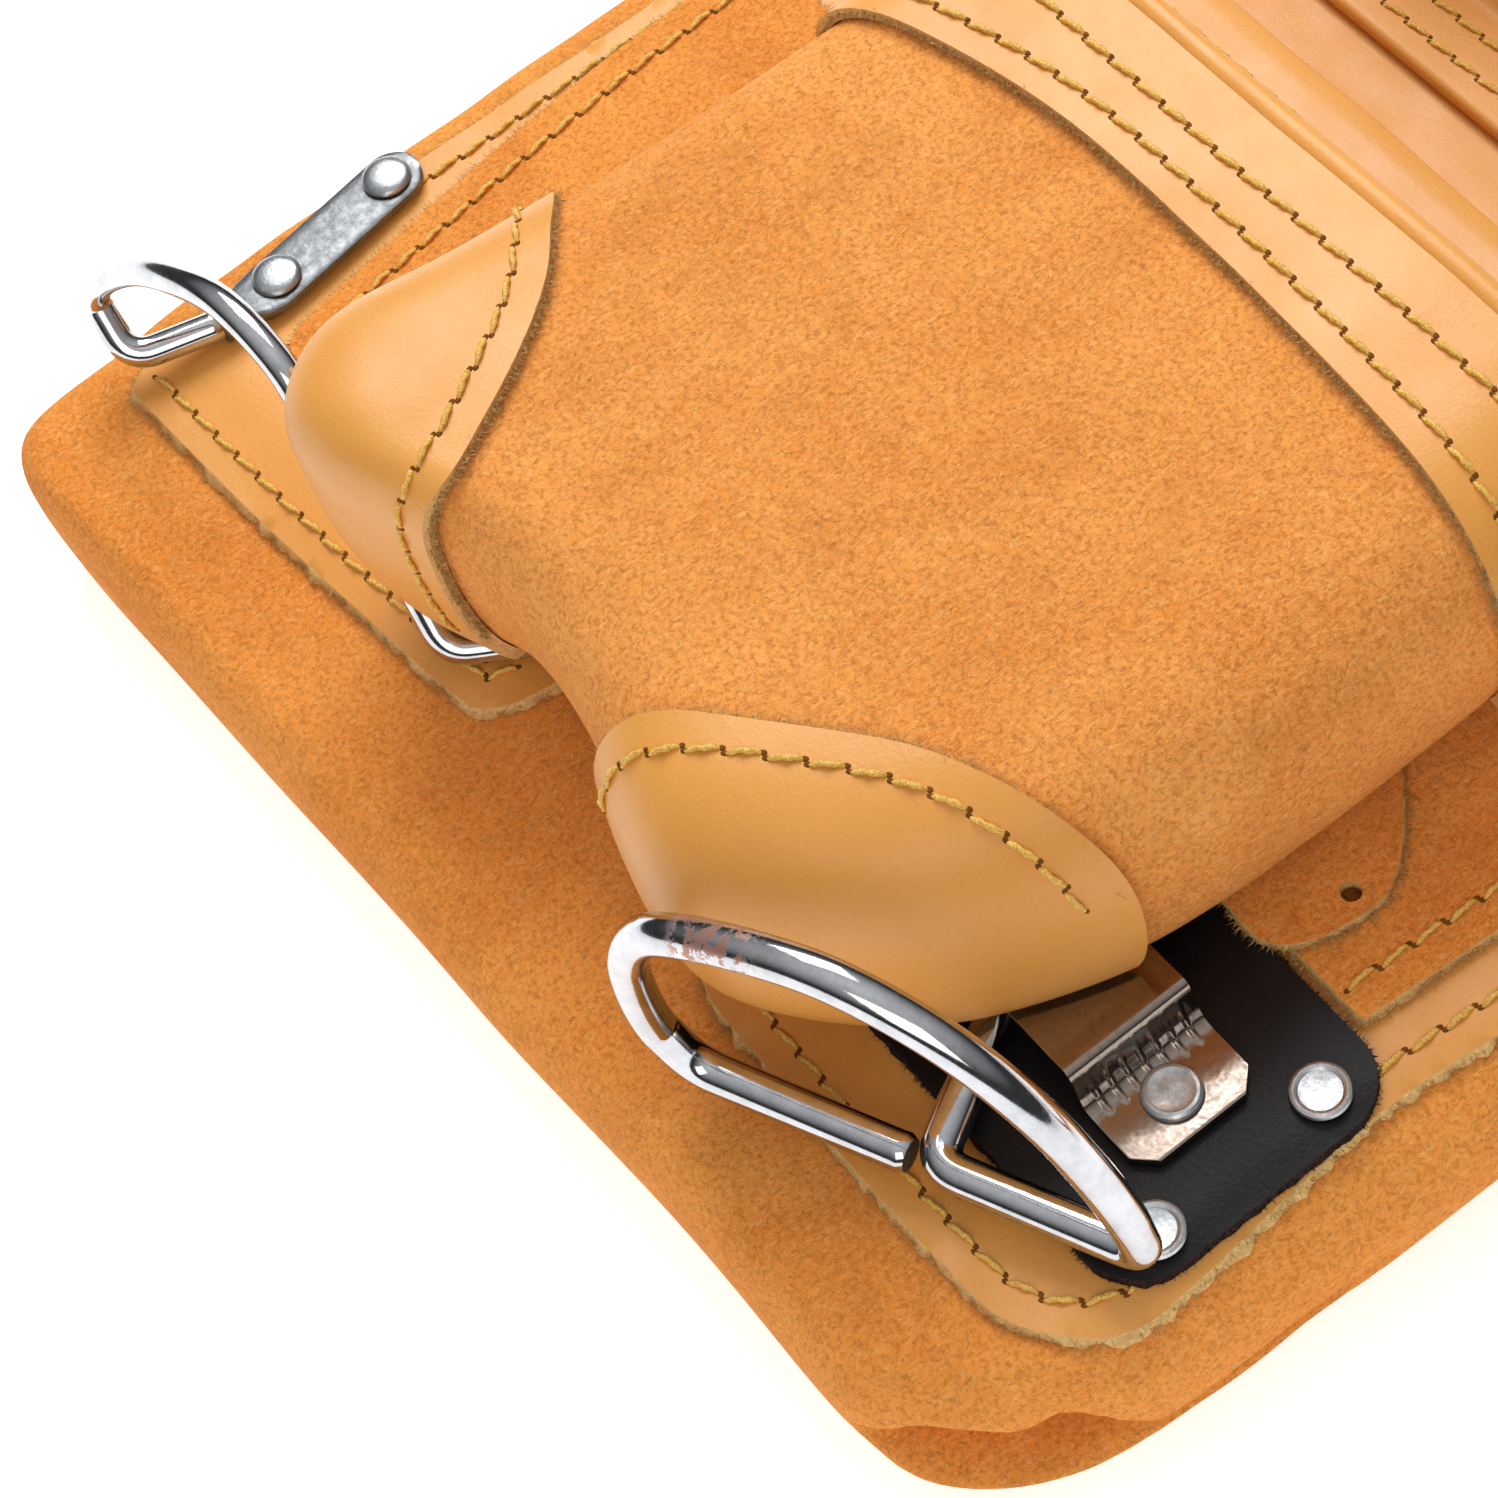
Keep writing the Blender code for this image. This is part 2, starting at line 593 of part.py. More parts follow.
clear_scene()
build_bag_body()
build_strips()
build_flanges()
build_front_pocket()
build_trim()
build_loop_mount()
build_swing_loop()
build_fixed_loop()
build_tunnel()
build_belt()
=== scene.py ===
"""Looks of the carpenter's tool bag: suede and smooth leather bodies, stitches, wire loops, belt.

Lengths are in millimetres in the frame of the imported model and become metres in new_object().
"""
from contextlib import contextmanager
from math import atan2, cos, exp, pi, radians, sin
from random import Random

import bmesh
import bpy
from mathutils import Matrix, Vector, noise
from mathutils.bvhtree import BVHTree
from mathutils.geometry import delaunay_2d_cdt


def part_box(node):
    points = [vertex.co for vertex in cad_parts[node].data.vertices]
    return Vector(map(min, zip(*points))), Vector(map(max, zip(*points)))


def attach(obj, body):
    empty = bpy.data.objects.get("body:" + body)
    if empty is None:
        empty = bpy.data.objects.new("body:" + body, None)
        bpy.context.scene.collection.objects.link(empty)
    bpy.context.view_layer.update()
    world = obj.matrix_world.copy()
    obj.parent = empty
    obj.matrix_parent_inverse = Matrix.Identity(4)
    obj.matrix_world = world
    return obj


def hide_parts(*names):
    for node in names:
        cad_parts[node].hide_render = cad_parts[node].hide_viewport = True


MM = 0.001
SEED = 7.0                      # offset of every noise pattern
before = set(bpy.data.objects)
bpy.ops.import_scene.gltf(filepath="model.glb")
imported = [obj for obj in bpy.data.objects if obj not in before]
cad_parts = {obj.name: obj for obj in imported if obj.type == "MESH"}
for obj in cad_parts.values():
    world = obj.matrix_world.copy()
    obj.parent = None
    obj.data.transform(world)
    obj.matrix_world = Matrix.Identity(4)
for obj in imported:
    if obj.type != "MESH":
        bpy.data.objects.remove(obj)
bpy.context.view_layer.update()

# ---- camera ---------------------------------------------------------------
AIM = Vector((2.5, 0.0, 29.6))
VIEW_RIGHT = Vector((0.587, 0.787, -0.1885))
VIEW_BACK = Vector((0.506, -0.1752, 0.8443))
CAMERA_DISTANCE = 600.0
CAMERA_LENS = 100.9

# ---- main pocket ----------------------------------------------------------
BASE_OUTLINE = [(117, 133), (117, 90), (116.5, 50), (115.5, 12), (115, -10), (113.5, -23), (108, -36), (99, -45),
                (88, -48.5), (60, -49.5), (20, -51), (-30, -52.5), (-80, -54), (-108, -54.8), (-122, -53.5),
                (-129.5, -47.5), (-131.8, -36), (-131.5, -5), (-130.5, 40), (-129, 90), (-128, 133)]
BASE_TOP = 28.0
LAYER = 0.25                    # air between two layers

# ---- front pocket ---------------------------------------------------------
FRONT_OUTLINE = [(76, 103), (76.5, 70), (76.5, 45), (75, 24), (70.5, 8), (62.5, -8), (51, -20.5), (38, -28),
                 (25, -27.5), (12, -23.5), (0, -20.5), (-12, -18.8), (-24, -19.5), (-36, -22.8), (-47, -25.8),
                 (-57, -25), (-63.5, -19), (-66.2, -10), (-65, 5), (-62.5, 30), (-60.5, 70), (-60, 103)]
PATCH_LEFT = [(-70, 24.6), (-63, 24.3), (-59, 23), (-54, 19.5), (-47.5, 14.5), (-41, 7), (-36, -1), (-32, -8.5),
              (-29.5, -13.5), (-28.5, -17), (-29, -22), (-30, -36)]
PATCH_RIGHT = [(10, -38), (13, -27.5), (16, -21.5), (21.5, -15.5), (29, -9.5), (38, -2.5), (47, 4), (58, 9.5),
               (68, 13.5), (74.5, 16.5), (82, 20)]
BAND_EDGE = [(-75, 66), (-62, 71), (-50, 75.5), (-35, 79.5), (-18, 82), (0, 82.5), (18, 82), (36, 81), (52, 80),
             (66, 78.5), (78, 77), (90, 76)]
TRIM_T = 1.9                    # leather sewn over the front pocket
SUEDE_T = 2.4                   # wall of both pockets
PATCH_SEAM = 5.0                # from a patch's edge to its stitches
PATCH_FOOT = (-29.0, 46.0)      # x and z where the left patch's seam ends on the side wall
BAND_SEAMS = (4.6, 9.5)         # from the band's lower edge, and from the pocket's mouth
MOUTH_Y = 102.6

# ---- strips and flanges ---------------------------------------------------
STRIP_T = 1.7
LAYER_T = 1.9
LEFT_STRIP_SIDE = [(-119.5, 107), (-120, 60), (-121.5, 20), (-121.5, -20), (-120.5, -30), (-118, -33)]
LEFT_STRIP_FOOT = [(-118, -33), (-90, -31.5), (-60, -29), (-38, -26.8), (-30, -24), (-26, -14), (-24, 10)]
RIGHT_STRIP_FOOT = [(24, 20), (24.5, -18), (28.5, -27.2), (45, -28.4), (70, -28.6), (92, -27.6), (102.2, -22.3),
                    (107, -15), (107.4, -5), (105.2, 29), (107.8, 60), (107.5, 107)]
TONGUE_HOLE = (79.6, 46.5)

# ---- wire -----------------------------------------------------------------
RING_R = 2.9
RING_Z = 36.7
RING_LEFT = Vector((41.6, -36.5))
RING_RIGHT = Vector((103.3, -8.5))
STEM_FOOT = Vector((74.9, -21.4))
PIVOT = Vector((45.5, 27.2))
ARCH_H = 49.0
LOOP_R = 2.5
LOOP_Z = 33.0
LOOP_FEET = (Vector((-119.4, -30.5)), Vector((-36.3, -23.4)))
LOOP_H = 36.0
LOOP_LEAN = radians(12)
TAB_SEAT = 30.5                 # underside of the beaten tabs
TABS = (((-114.6, -16.0), (-120.6, 25.0)), ((-31.5, -12.0), (-25.5, 29.0)))


# ---- keeper plate and belt ------------------------------------------------
PLATE_Y = (-1.0, 19.5)
PLATE_X = (17.5, 32.0, 79.0, 93.3)
BELT_Y = 205.5                  # middle of the strap
BELT_W = 45.0
BELT_T = 3.5

# ---- light ----------------------------------------------------------------
WORLD_LIGHT = 0.80
KEY_POWER = 18.0
FILL_POWER = 5.5
FLOOR_GLOW = 0.55


# ======================= materials =======================
class Nodes:
    """Short hand for building one material's node tree."""

    def __init__(self, name):
        self.mat = bpy.data.materials.new(name)
        self.mat.use_nodes = True
        self.tree = self.mat.node_tree
        self.shader = self.tree.nodes["Principled BSDF"]
        self.where = self.tree.nodes.new("ShaderNodeTexCoord").outputs["Object"]

    def node(self, kind, **values):
        made = self.tree.nodes.new(kind)
        for key, value in values.items():
            setattr(made, key, value)
        return made

    def link(self, a, b):
        self.tree.links.new(a, b)

    def scaled(self, scale):
        made = self.node("ShaderNodeMapping")
        made.inputs["Scale"].default_value = scale
        self.link(self.where, made.inputs["Vector"])
        return made.outputs["Vector"]

    def noise(self, per_mm, detail=3.0, rough=0.55, stretch=(1, 1, 1), distort=0.0):
        made = self.node("ShaderNodeTexNoise")
        self.link(self.scaled([s * 1000.0 * per_mm for s in stretch]), made.inputs["Vector"])
        made.inputs["Scale"].default_value = 1.0
        made.inputs["Detail"].default_value = detail
        made.inputs["Roughness"].default_value = rough
        made.inputs["Distortion"].default_value = distort
        return made.outputs["Fac"]

    def cells(self, per_mm, feature="F1", stretch=(1, 1, 1)):
        made = self.node("ShaderNodeTexVoronoi", feature=feature)
        self.link(self.scaled([s * 1000.0 * per_mm for s in stretch]), made.inputs["Vector"])
        made.inputs["Scale"].default_value = 1.0
        return made.outputs["Distance"]

    def ramp(self, fac, stops):
        made = self.node("ShaderNodeValToRGB")
        ramp = made.color_ramp
        while len(ramp.elements) < len(stops):
            ramp.elements.new(0.5)
        for element, (place, colour) in zip(ramp.elements, stops):
            element.position = place
            element.color = (*colour, 1.0) if len(colour) == 3 else (colour[0],) * 3 + (1.0,)
        self.link(fac, made.inputs["Fac"])
        return made.outputs["Color"]

    def fade(self, fac, low, high):
        """Black below low, white above high."""
        return self.ramp(fac, [(low, (0.0,)), (high, (1.0,))])

    def feed(self, socket, value):
        """Link a node's output to a socket, or set the socket's own number or colour."""
        if isinstance(value, bpy.types.NodeSocket):
            self.link(value, socket)
        else:
            socket.default_value = (*value, 1.0) if isinstance(value, tuple) else value

    def mix(self, fac, a, b):
        made = self.node("ShaderNodeMix", data_type="RGBA")
        for index, value in ((0, fac), (6, a), (7, b)):
            self.feed(made.inputs[index], value)
        return made.outputs[2]

    def maths(self, kind, a, b):
        made = self.node("ShaderNodeMath", operation=kind)
        for socket, value in zip(made.inputs, (a, b)):
            self.feed(socket, value)
        return made.outputs[0]

    def stain(self, tone, mask, amount, colour):
        """Mix amount of a colour into a tone where the mask is white."""
        return self.mix(self.maths("MULTIPLY", mask, amount), tone, colour)

    def bump(self, height, distance_mm, strength=1.0, under=None):
        made = self.node("ShaderNodeBump")
        made.inputs["Strength"].default_value = strength
        made.inputs["Distance"].default_value = distance_mm * MM
        self.link(height, made.inputs["Height"])
        if under:
            self.link(under, made.inputs["Normal"])
        return made.outputs["Normal"]

    def set(self, **values):
        for name, value in values.items():
            self.feed(self.shader.inputs[name.replace("_", " ")], value)
        return self.mat


def suede(name, light, mid, dark):
    """Napped split leather: short fibres brushed every way, with soft cloudy tone."""
    n = Nodes(name)
    cloud = n.noise(0.030, 4.0, 0.6, distort=0.6)
    tone = n.ramp(cloud, [(0.36, mid), (0.62, light)])
    nap = n.noise(1.15, 4.0, 0.78, distort=0.4)
    fibre = n.noise(2.0, 2.0, 0.65, stretch=(1.0, 0.35, 0.7), distort=1.4)
    tone = n.stain(tone, n.maths("SUBTRACT", 1.0, n.fade(nap, 0.36, 0.54)), 0.58, dark)
    tone = n.stain(tone, n.fade(fibre, 0.50, 0.66), 0.55, (1.0, 0.52, 0.17))
    tone = n.stain(tone, n.fade(n.noise(0.09, 3.0, 0.6), 0.50, 0.72), 0.16, dark)
    normal = n.bump(nap, 0.50, 0.8)
    normal = n.bump(fibre, 0.26, 0.8, normal)
    return n.set(Base_Color=tone, Roughness=0.95, Normal=normal, Sheen_Weight=0.10, Sheen_Roughness=0.5,
                 Sheen_Tint=(1.0, 0.50, 0.20), Specular_IOR_Level=0.15)


def smooth_leather(name, tone_a, tone_b, rough):
    """Top grain: faint pores, slow tone changes and a soft even shine."""
    n = Nodes(name)
    cloud = n.noise(0.022, 4.0, 0.55, distort=0.3)
    tone = n.ramp(cloud, [(0.35, tone_a), (0.65, tone_b)])
    pores = n.cells(1.9)
    grain = n.noise(1.3, 3.0, 0.6)
    crease = n.noise(0.12, 4.0, 0.65, stretch=(0.5, 1.6, 1.0), distort=1.5)
    tone = n.stain(tone, n.ramp(grain, [(0.30, (1.0,)), (0.52, (0.0,))]), 0.10, (0.50, 0.17, 0.035))
    normal = n.bump(pores, 0.05, 0.5)
    normal = n.bump(grain, 0.05, 0.5, normal)
    normal = n.bump(crease, 0.30, 0.25, normal)
    shine = n.ramp(n.noise(0.08, 3.0, 0.6), [(0.3, (rough - 0.05,)), (0.7, (rough + 0.07,))])
    return n.set(Base_Color=tone, Roughness=shine, Normal=normal, Specular_IOR_Level=0.5)


def raw_edge(name, pale, deep):
    """Cut edge of the hide: pale, layered and hairy."""
    n = Nodes(name)
    fibres = n.noise(1.5, 4.0, 0.75, distort=1.0)
    layers = n.noise(0.6, 2.0, 0.6, stretch=(1, 1, 4))
    tone = n.ramp(fibres, [(0.34, deep), (0.62, pale)])
    tone = n.stain(tone, n.fade(layers, 0.45, 0.65), 0.35, deep)
    normal = n.bump(fibres, 0.45, 1.0)
    return n.set(Base_Color=tone, Roughness=1.0, Normal=normal, Specular_IOR_Level=0.1)


def black_leather():
    n = Nodes("black_leather")
    grain = n.noise(1.1, 4.0, 0.65)
    pores = n.cells(1.5)
    tone = n.ramp(n.noise(0.06, 3.0, 0.6), [(0.35, (0.005, 0.0045, 0.005)), (0.7, (0.010, 0.009, 0.010))])
    normal = n.bump(grain, 0.10, 0.6)
    normal = n.bump(pores, 0.06, 0.5, normal)
    return n.set(Base_Color=tone, Roughness=0.42, Normal=normal, Specular_IOR_Level=0.22)


PLATING = [(0.30, (0.46, 0.47, 0.49)), (0.6, (0.59, 0.60, 0.63))]


def chrome():
    """Polished plating with faint drawing marks along the wire."""
    n = Nodes("chrome")
    haze = n.noise(0.25, 4.0, 0.7)
    marks = n.noise(2.2, 3.0, 0.7, stretch=(0.2, 1, 1))
    tone = n.ramp(haze, PLATING)
    shine = n.ramp(marks, [(0.35, (0.07,)), (0.75, (0.07 + 0.09,))])
    normal = n.bump(n.noise(0.5, 3.0, 0.6), 0.03, 0.35)
    return n.set(Base_Color=tone, Metallic=1.0, Roughness=shine, Normal=normal)


def rusty_chrome(spot):
    """The same plating, worn through to pink-brown patches round one place."""
    n = Nodes("ring_chrome")
    haze = n.noise(0.25, 4.0, 0.7)
    tone = n.ramp(haze, PLATING)
    away = n.node("ShaderNodeVectorMath", operation="DISTANCE")
    n.link(n.where, away.inputs[0])
    away.inputs[1].default_value = [c * MM for c in spot]
    near = n.maths("SUBTRACT", 1.0, n.maths("DIVIDE", away.outputs["Value"], 9.0 * MM))
    flakes = n.fade(n.noise(0.45, 4.0, 0.7), 0.50, 0.56)
    worn = n.maths("MULTIPLY", n.fade(near, 0.05, 0.35), flakes)
    tone = n.mix(worn, tone, (0.42, 0.22, 0.17))
    marks = n.noise(2.2, 3.0, 0.7, stretch=(0.2, 1, 1))
    shine = n.mix(worn, n.ramp(marks, [(0.35, (0.07,)), (0.75, (0.16,))]), (0.35, 0.35, 0.35))
    metal = n.maths("SUBTRACT", 1.0, n.maths("MULTIPLY", worn, 0.45))
    normal = n.bump(n.noise(0.5, 3.0, 0.6), 0.03, 0.35)
    return n.set(Base_Color=tone, Metallic=metal, Roughness=shine, Normal=normal)


def nickel(name, bright):
    n = Nodes(name)
    wave = n.noise(0.10, 3.0, 0.6, distort=0.8)
    pits = n.noise(1.2, 3.0, 0.7)
    tone = n.ramp(pits, [(0.30, (0.75 * bright, 0.58 * bright, 0.47 * bright)),
                         (0.5, (0.97 * bright, 0.78 * bright, 0.66 * bright))])
    shine = n.ramp(pits, [(0.35, (0.20,)), (0.7, (0.09,))])
    normal = n.bump(wave, 0.5, 0.2)
    normal = n.bump(pits, 0.012, 0.4, normal)
    return n.set(Base_Color=tone, Metallic=1.0, Roughness=shine, Normal=normal)


def zinc(name, rough, pale):
    n = Nodes(name)
    bloom = n.noise(0.5, 4.0, 0.7)
    tone = n.ramp(bloom, [(0.35, (0.66 * pale, 0.69 * pale, 0.72 * pale)), (0.65, (pale, 1.03 * pale, 1.06 * pale))])
    shine = n.ramp(bloom, [(0.35, (rough + 0.1,)), (0.65, (rough - 0.06,))])
    normal = n.bump(n.noise(1.4, 4.0, 0.7), 0.10, 0.6)
    return n.set(Base_Color=tone, Metallic=1.0, Roughness=shine, Normal=normal)


def thread():
    n = Nodes("thread")
    fibre = n.noise(3.0, 3.0, 0.7)
    tone = n.ramp(fibre, [(0.35, (0.52, 0.26, 0.03)), (0.62, (0.96, 0.61, 0.13))])
    return n.set(Base_Color=tone, Roughness=0.55, Normal=n.bump(fibre, 0.12, 0.8), Specular_IOR_Level=0.5)


# Needle holes and the tongue's hole: near-black brown discs, painted shade in the pits.
def paint_hole_shade():
    n = Nodes("needle_hole_painted_shade")
    return n.set(Base_Color=n.ramp(n.noise(1.0), [(0.3, (0.13, 0.045, 0.010)), (0.7, (0.22, 0.085, 0.018))]),
                 Roughness=1.0, Specular_IOR_Level=0.0)


SUEDE = suede("suede", (0.97, 0.395, 0.092), (0.86, 0.308, 0.060), (0.36, 0.090, 0.012))
# Deeper orange copy of the front's suede for the main pocket, flanges and tongue: painted shade, the colour suede
# takes in shade and bounce light.
SHADED_BASE_SUEDE = suede("base_suede_painted_shade", (0.97, 0.370, 0.070), (0.85, 0.282, 0.043), (0.40, 0.105, 0.014))
CUT_STEEL = zinc("cut_steel", 0.5, 0.14)
LEATHER = smooth_leather("smooth_leather", (0.73, 0.315, 0.055), (0.79, 0.355, 0.073), 0.43)
BELT_LEATHER = smooth_leather("belt_leather", (0.68, 0.275, 0.052), (0.75, 0.320, 0.070), 0.42)
EDGE = raw_edge("raw_edge", (1.0, 0.70, 0.31), (0.82, 0.46, 0.15))
FIBRE = raw_edge("loose_fibre", (0.95, 0.66, 0.27), (0.66, 0.36, 0.11))
DARK_EDGE = raw_edge("dark_edge", (0.060, 0.034, 0.030), (0.012, 0.008, 0.008))
BLACK = black_leather()
CHROME = chrome()
NICKEL = nickel("nickel", 0.80)
PLATE_NICKEL = nickel("plate_nickel", 0.32)
ZINC = zinc("zinc", 0.34, 0.60)
TAB_ZINC = zinc("tab_zinc", 0.40, 0.22)
DOME_ZINC = zinc("dome_zinc", 0.30, 0.48)
THREAD = thread()
HOLE_SHADE = paint_hole_shade()


# ======================= mesh helpers =======================
def loft(rows, sides, first=0):
    """Faces that join rows of sides points into a tube, and its two ends last."""
    faces = [(i * sides + k, i * sides + (k + 1) % sides, (i + 1) * sides + (k + 1) % sides, (i + 1) * sides + k)
             for i in range(rows - 1) for k in range(sides)]
    faces += [tuple(range(sides))[::-1], tuple(range((rows - 1) * sides, rows * sides))]
    return [tuple(first + i for i in face) for face in faces]


def grid(rows, count):
    """Faces of an open net of rows of count points."""
    return [(i * count + k, i * count + k + 1, (i + 1) * count + k + 1, (i + 1) * count + k)
            for i in range(rows - 1) for k in range(count - 1)]


def circle(x, y, radius, count=20, way=1):
    """Round hole's outline, counter-clockwise if way is 1."""
    return [(x + radius * cos(2 * pi * i / count), y + way * radius * sin(2 * pi * i / count)) for i in range(count)]


def rounded_box(x0, x1, y0, y1, radius):
    """Counter-clockwise outline of a box with round corners; x and y are the corners' centres."""
    corners = ((x1, y1, 0), (x0, y1, 90), (x0, y0, 180), (x1, y0, 270))
    return [(cx + radius * cos(radians(turn + 9 * i)), cy + radius * sin(radians(turn + 9 * i)))
            for cx, cy, turn in corners for i in range(11)]


def direction(path, i, reach=1):
    """Unit vector along a path at its point i."""
    return (path[min(i + reach, len(path) - 1)] - path[max(i - reach, 0)]).normalized()


def new_object(name, verts, faces, mats, smooth):
    mesh = bpy.data.meshes.new(name)
    mesh.from_pydata([tuple(c * MM for c in v) for v in verts], [], faces)
    mesh.update()
    obj = bpy.data.objects.new(name, mesh)
    bpy.context.collection.objects.link(obj)
    for mat in mats if isinstance(mats, (list, tuple)) else [mats]:
        mesh.materials.append(mat)
    tidy_normals(obj, smooth)
    return obj


@contextmanager
def edited(obj):
    """An object's mesh opened for editing, written back at the end."""
    bm = bmesh.new()
    bm.from_mesh(obj.data)
    yield bm
    bm.to_mesh(obj.data)
    bm.free()


def tidy_normals(obj, smooth, weld=0.0):
    with edited(obj) as bm:
        if weld:
            bmesh.ops.remove_doubles(bm, verts=bm.verts, dist=weld * MM)
            bmesh.ops.dissolve_degenerate(bm, edges=bm.edges, dist=0.2 * weld * MM)
        bmesh.ops.recalc_face_normals(bm, faces=bm.faces)
    for poly in obj.data.polygons:
        poly.use_smooth = True
    if smooth:
        obj.data.set_sharp_from_angle(angle=radians(smooth))


def baked(obj):
    """Apply the object's modifiers to its mesh."""
    graph = bpy.context.evaluated_depsgraph_get()
    mesh = bpy.data.meshes.new_from_object(obj.evaluated_get(graph))
    obj.modifiers.clear()
    old = obj.data
    obj.data = mesh
    bpy.data.meshes.remove(old)
    return obj


def refinish(mesh, mat):
    """Give a mesh one finish."""
    mesh.materials.clear()
    mesh.materials.append(mat)


def duplicate(obj, name, mat=None):
    """A new object with its own copy of an object's mesh."""
    made = bpy.data.objects.new(name, obj.data.copy())
    bpy.context.collection.objects.link(made)
    if mat:
        refinish(made.data, mat)
    return made


def thicken(obj, thick, offset):
    mod = obj.modifiers.new("thick", "SOLIDIFY")
    mod.thickness = thick * MM
    mod.offset = offset
    mod.use_even_offset = False
    return baked(obj)


def bevelled(obj, width, segments, limit):
    """Round the edges that turn by more than limit degrees."""
    mod = obj.modifiers.new("bevel", "BEVEL")
    mod.width = width * MM
    mod.segments = segments
    mod.angle_limit = radians(limit)
    return baked(obj)


def cut(obj, cutter, operation="DIFFERENCE"):
    mod = obj.modifiers.new("cut", "BOOLEAN")
    mod.operation = operation
    mod.solver = "EXACT"
    mod.material_mode = "TRANSFER"
    mod.object = cutter
    baked(obj)
    bpy.data.objects.remove(cutter, do_unlink=True)
    return obj


def prism(outline, z0, z1, mat):
    count = len(outline)
    verts = [(x, y, z) for z in (z0, z1) for x, y in outline]
    faces = [tuple(range(count))[::-1], tuple(range(count, 2 * count))]
    faces += [(i, (i + 1) % count, count + (i + 1) % count, count + i) for i in range(count)]
    return new_object("cutter", verts, faces, mat, 0)


def curve_through(points, step):
    """Smooth open curve through points, resampled at about one step."""
    points = [Vector(p) for p in points]
    ends = [points[0] * 2 - points[1]] + points + [points[-1] * 2 - points[-2]]
    dense = []
    for a, b, c, d in zip(ends, ends[1:], ends[2:], ends[3:]):
        for i in range(12):
            t = i / 12
            dense.append(0.5 * (2 * b + (c - a) * t + (2 * a - 5 * b + 4 * c - d) * t * t
                                + (3 * b - a - 3 * c + d) * t ** 3))
    dense.append(points[-1])
    return resample(dense, step)


def plan(points):
    """Smooth curve through plan points, as (x, y) pairs."""
    return [(p.x, p.y) for p in curve_through(points, 1.2)]


def resample(path, step):
    """The same path with points about one step apart."""
    path = [Vector(p) for p in path]
    lengths = [0.0]
    for a, b in zip(path, path[1:]):
        lengths.append(lengths[-1] + (b - a).length)
    count = max(2, round(lengths[-1] / step) + 1)
    out = []
    j = 0
    for i in range(count):
        want = lengths[-1] * i / (count - 1)
        while j < len(path) - 2 and lengths[j + 1] < want:
            j += 1
        span = lengths[j + 1] - lengths[j] or 1.0
        out.append(path[j].lerp(path[j + 1], min(1.0, (want - lengths[j]) / span)))
    return out


def fillet(points, radius, steps=8):
    """Round the inner corners of an open path."""
    path = [Vector(points[0])]
    for before, here, after in zip(points, points[1:], points[2:]):
        here = Vector(here)
        a, b = Vector(before) - here, Vector(after) - here
        reach = min(radius, 0.45 * a.length, 0.45 * b.length)
        start, end = here + a.normalized() * reach, here + b.normalized() * reach
        for i in range(steps + 1):
            t = i / steps
            path.append(start * (1 - t) ** 2 + here * 2 * t * (1 - t) + end * t ** 2)
    path.append(Vector(points[-1]))
    return path


def wobble(x, y, z, scale, seed=0.0):
    return noise.noise(Vector((x / scale + seed + SEED, y / scale - seed, z / scale + 3.1 * seed)))


def smoothstep(low, high, value):
    t = min(max((value - low) / (high - low), 0.0), 1.0)
    return t * t * (3 - 2 * t)


def tube(name, path, radius, mat, sides=28, rim=0.35):
    """Round wire along a path. radius may be a function of the share of the way along; ends are eased."""
    count = len(path)
    verts = []
    side = None
    for i, here in enumerate(path):
        along = direction(path, i)
        side = along.orthogonal() if side is None else side
        side = (side - along * side.dot(along)).normalized()
        other = along.cross(side)
        r = radius(i / (count - 1)) if callable(radius) else radius
        r -= rim if i in (0, count - 1) else 0.0
        for k in range(sides):
            a = 2 * pi * k / sides
            verts.append(here + side * (r * cos(a)) + other * (r * sin(a)))
    return new_object(name, verts, loft(count, sides), mat, 50)


def place(obj, body, slot, *nodes):
    """Say what a piece rides on and the CAD nodes it stands for, and hide those nodes. slot, its finish, is not used.
    """
    if nodes:
        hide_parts(*nodes)
    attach(obj, body)
    return obj


def tree_of(obj):
    """Search tree in millimetres."""
    verts = [v.co / MM for v in obj.data.vertices]
    return BVHTree.FromPolygons(verts, [tuple(p.vertices) for p in obj.data.polygons])


def drop(tree, x, y, default=BASE_TOP):
    """Height of the surface under a plan point."""
    hit = tree.ray_cast(Vector((x, y, 300.0)), Vector((0, 0, -1)))
    return hit[0].z if hit[0] else default


# ======================= soft bodies =======================
def soft_pocket(name, outline, spine, levels, shape, mat, step=1.5):
    """Stuffed pocket, open at the top edge of its outline.

    Each point of the outline is joined to a spine line; rings of points run from the underside round the
    edge to the top. shape(point, side) gives (height of the equator, half height, edge radius) for one
    side, -1 under or +1 over.
    """
    rim = resample(curve_through(outline, 1.0), step)
    count = len(rim)
    spine_x, spine_low, spine_high = spine
    straight = round((spine_high - spine_low) / step)
    rows = []
    for side, share in levels:
        row = []
        for i, p in enumerate(rim):
            along = min(i, count - 1 - i, straight) / straight
            s = Vector((spine_x, spine_high + (spine_low - spine_high) * along))
            middle, half, edge = shape(p, side)
            gap = (s - p).length
            if share <= 1.0:
                a = share * pi / 2
                power = 2 / 2.5
                inward = edge * (1 - abs(cos(a)) ** power)
                z = middle + side * half * abs(sin(a)) ** power
            else:
                inward = edge + (gap - edge) * (share - 1)
                z = middle + side * half
            q = p.lerp(s, inward / gap)
            row.append(Vector((q.x, q.y, z)))
        rows.append(row)
    verts = [v for row in rows for v in row]
    obj = new_object(name, verts, grid(len(rows), count), mat, 0)
    tidy_normals(obj, 0, 0.05)
    return obj


def ring_levels(edge_rings, flat_rings):
    edge = [i / edge_rings for i in range(edge_rings + 1)]
    flat = [1 + i / flat_rings for i in range(1, flat_rings + 1)]
    under = [(-1, share) for share in reversed(edge[1:] + flat)]
    return under + [(1, share) for share in edge + flat]


def reshape(obj, move):
    """Move every vertex by a rule in millimetres."""
    for v in obj.data.vertices:
        p = v.co / MM
        v.co = move(p) * MM
    obj.data.update()


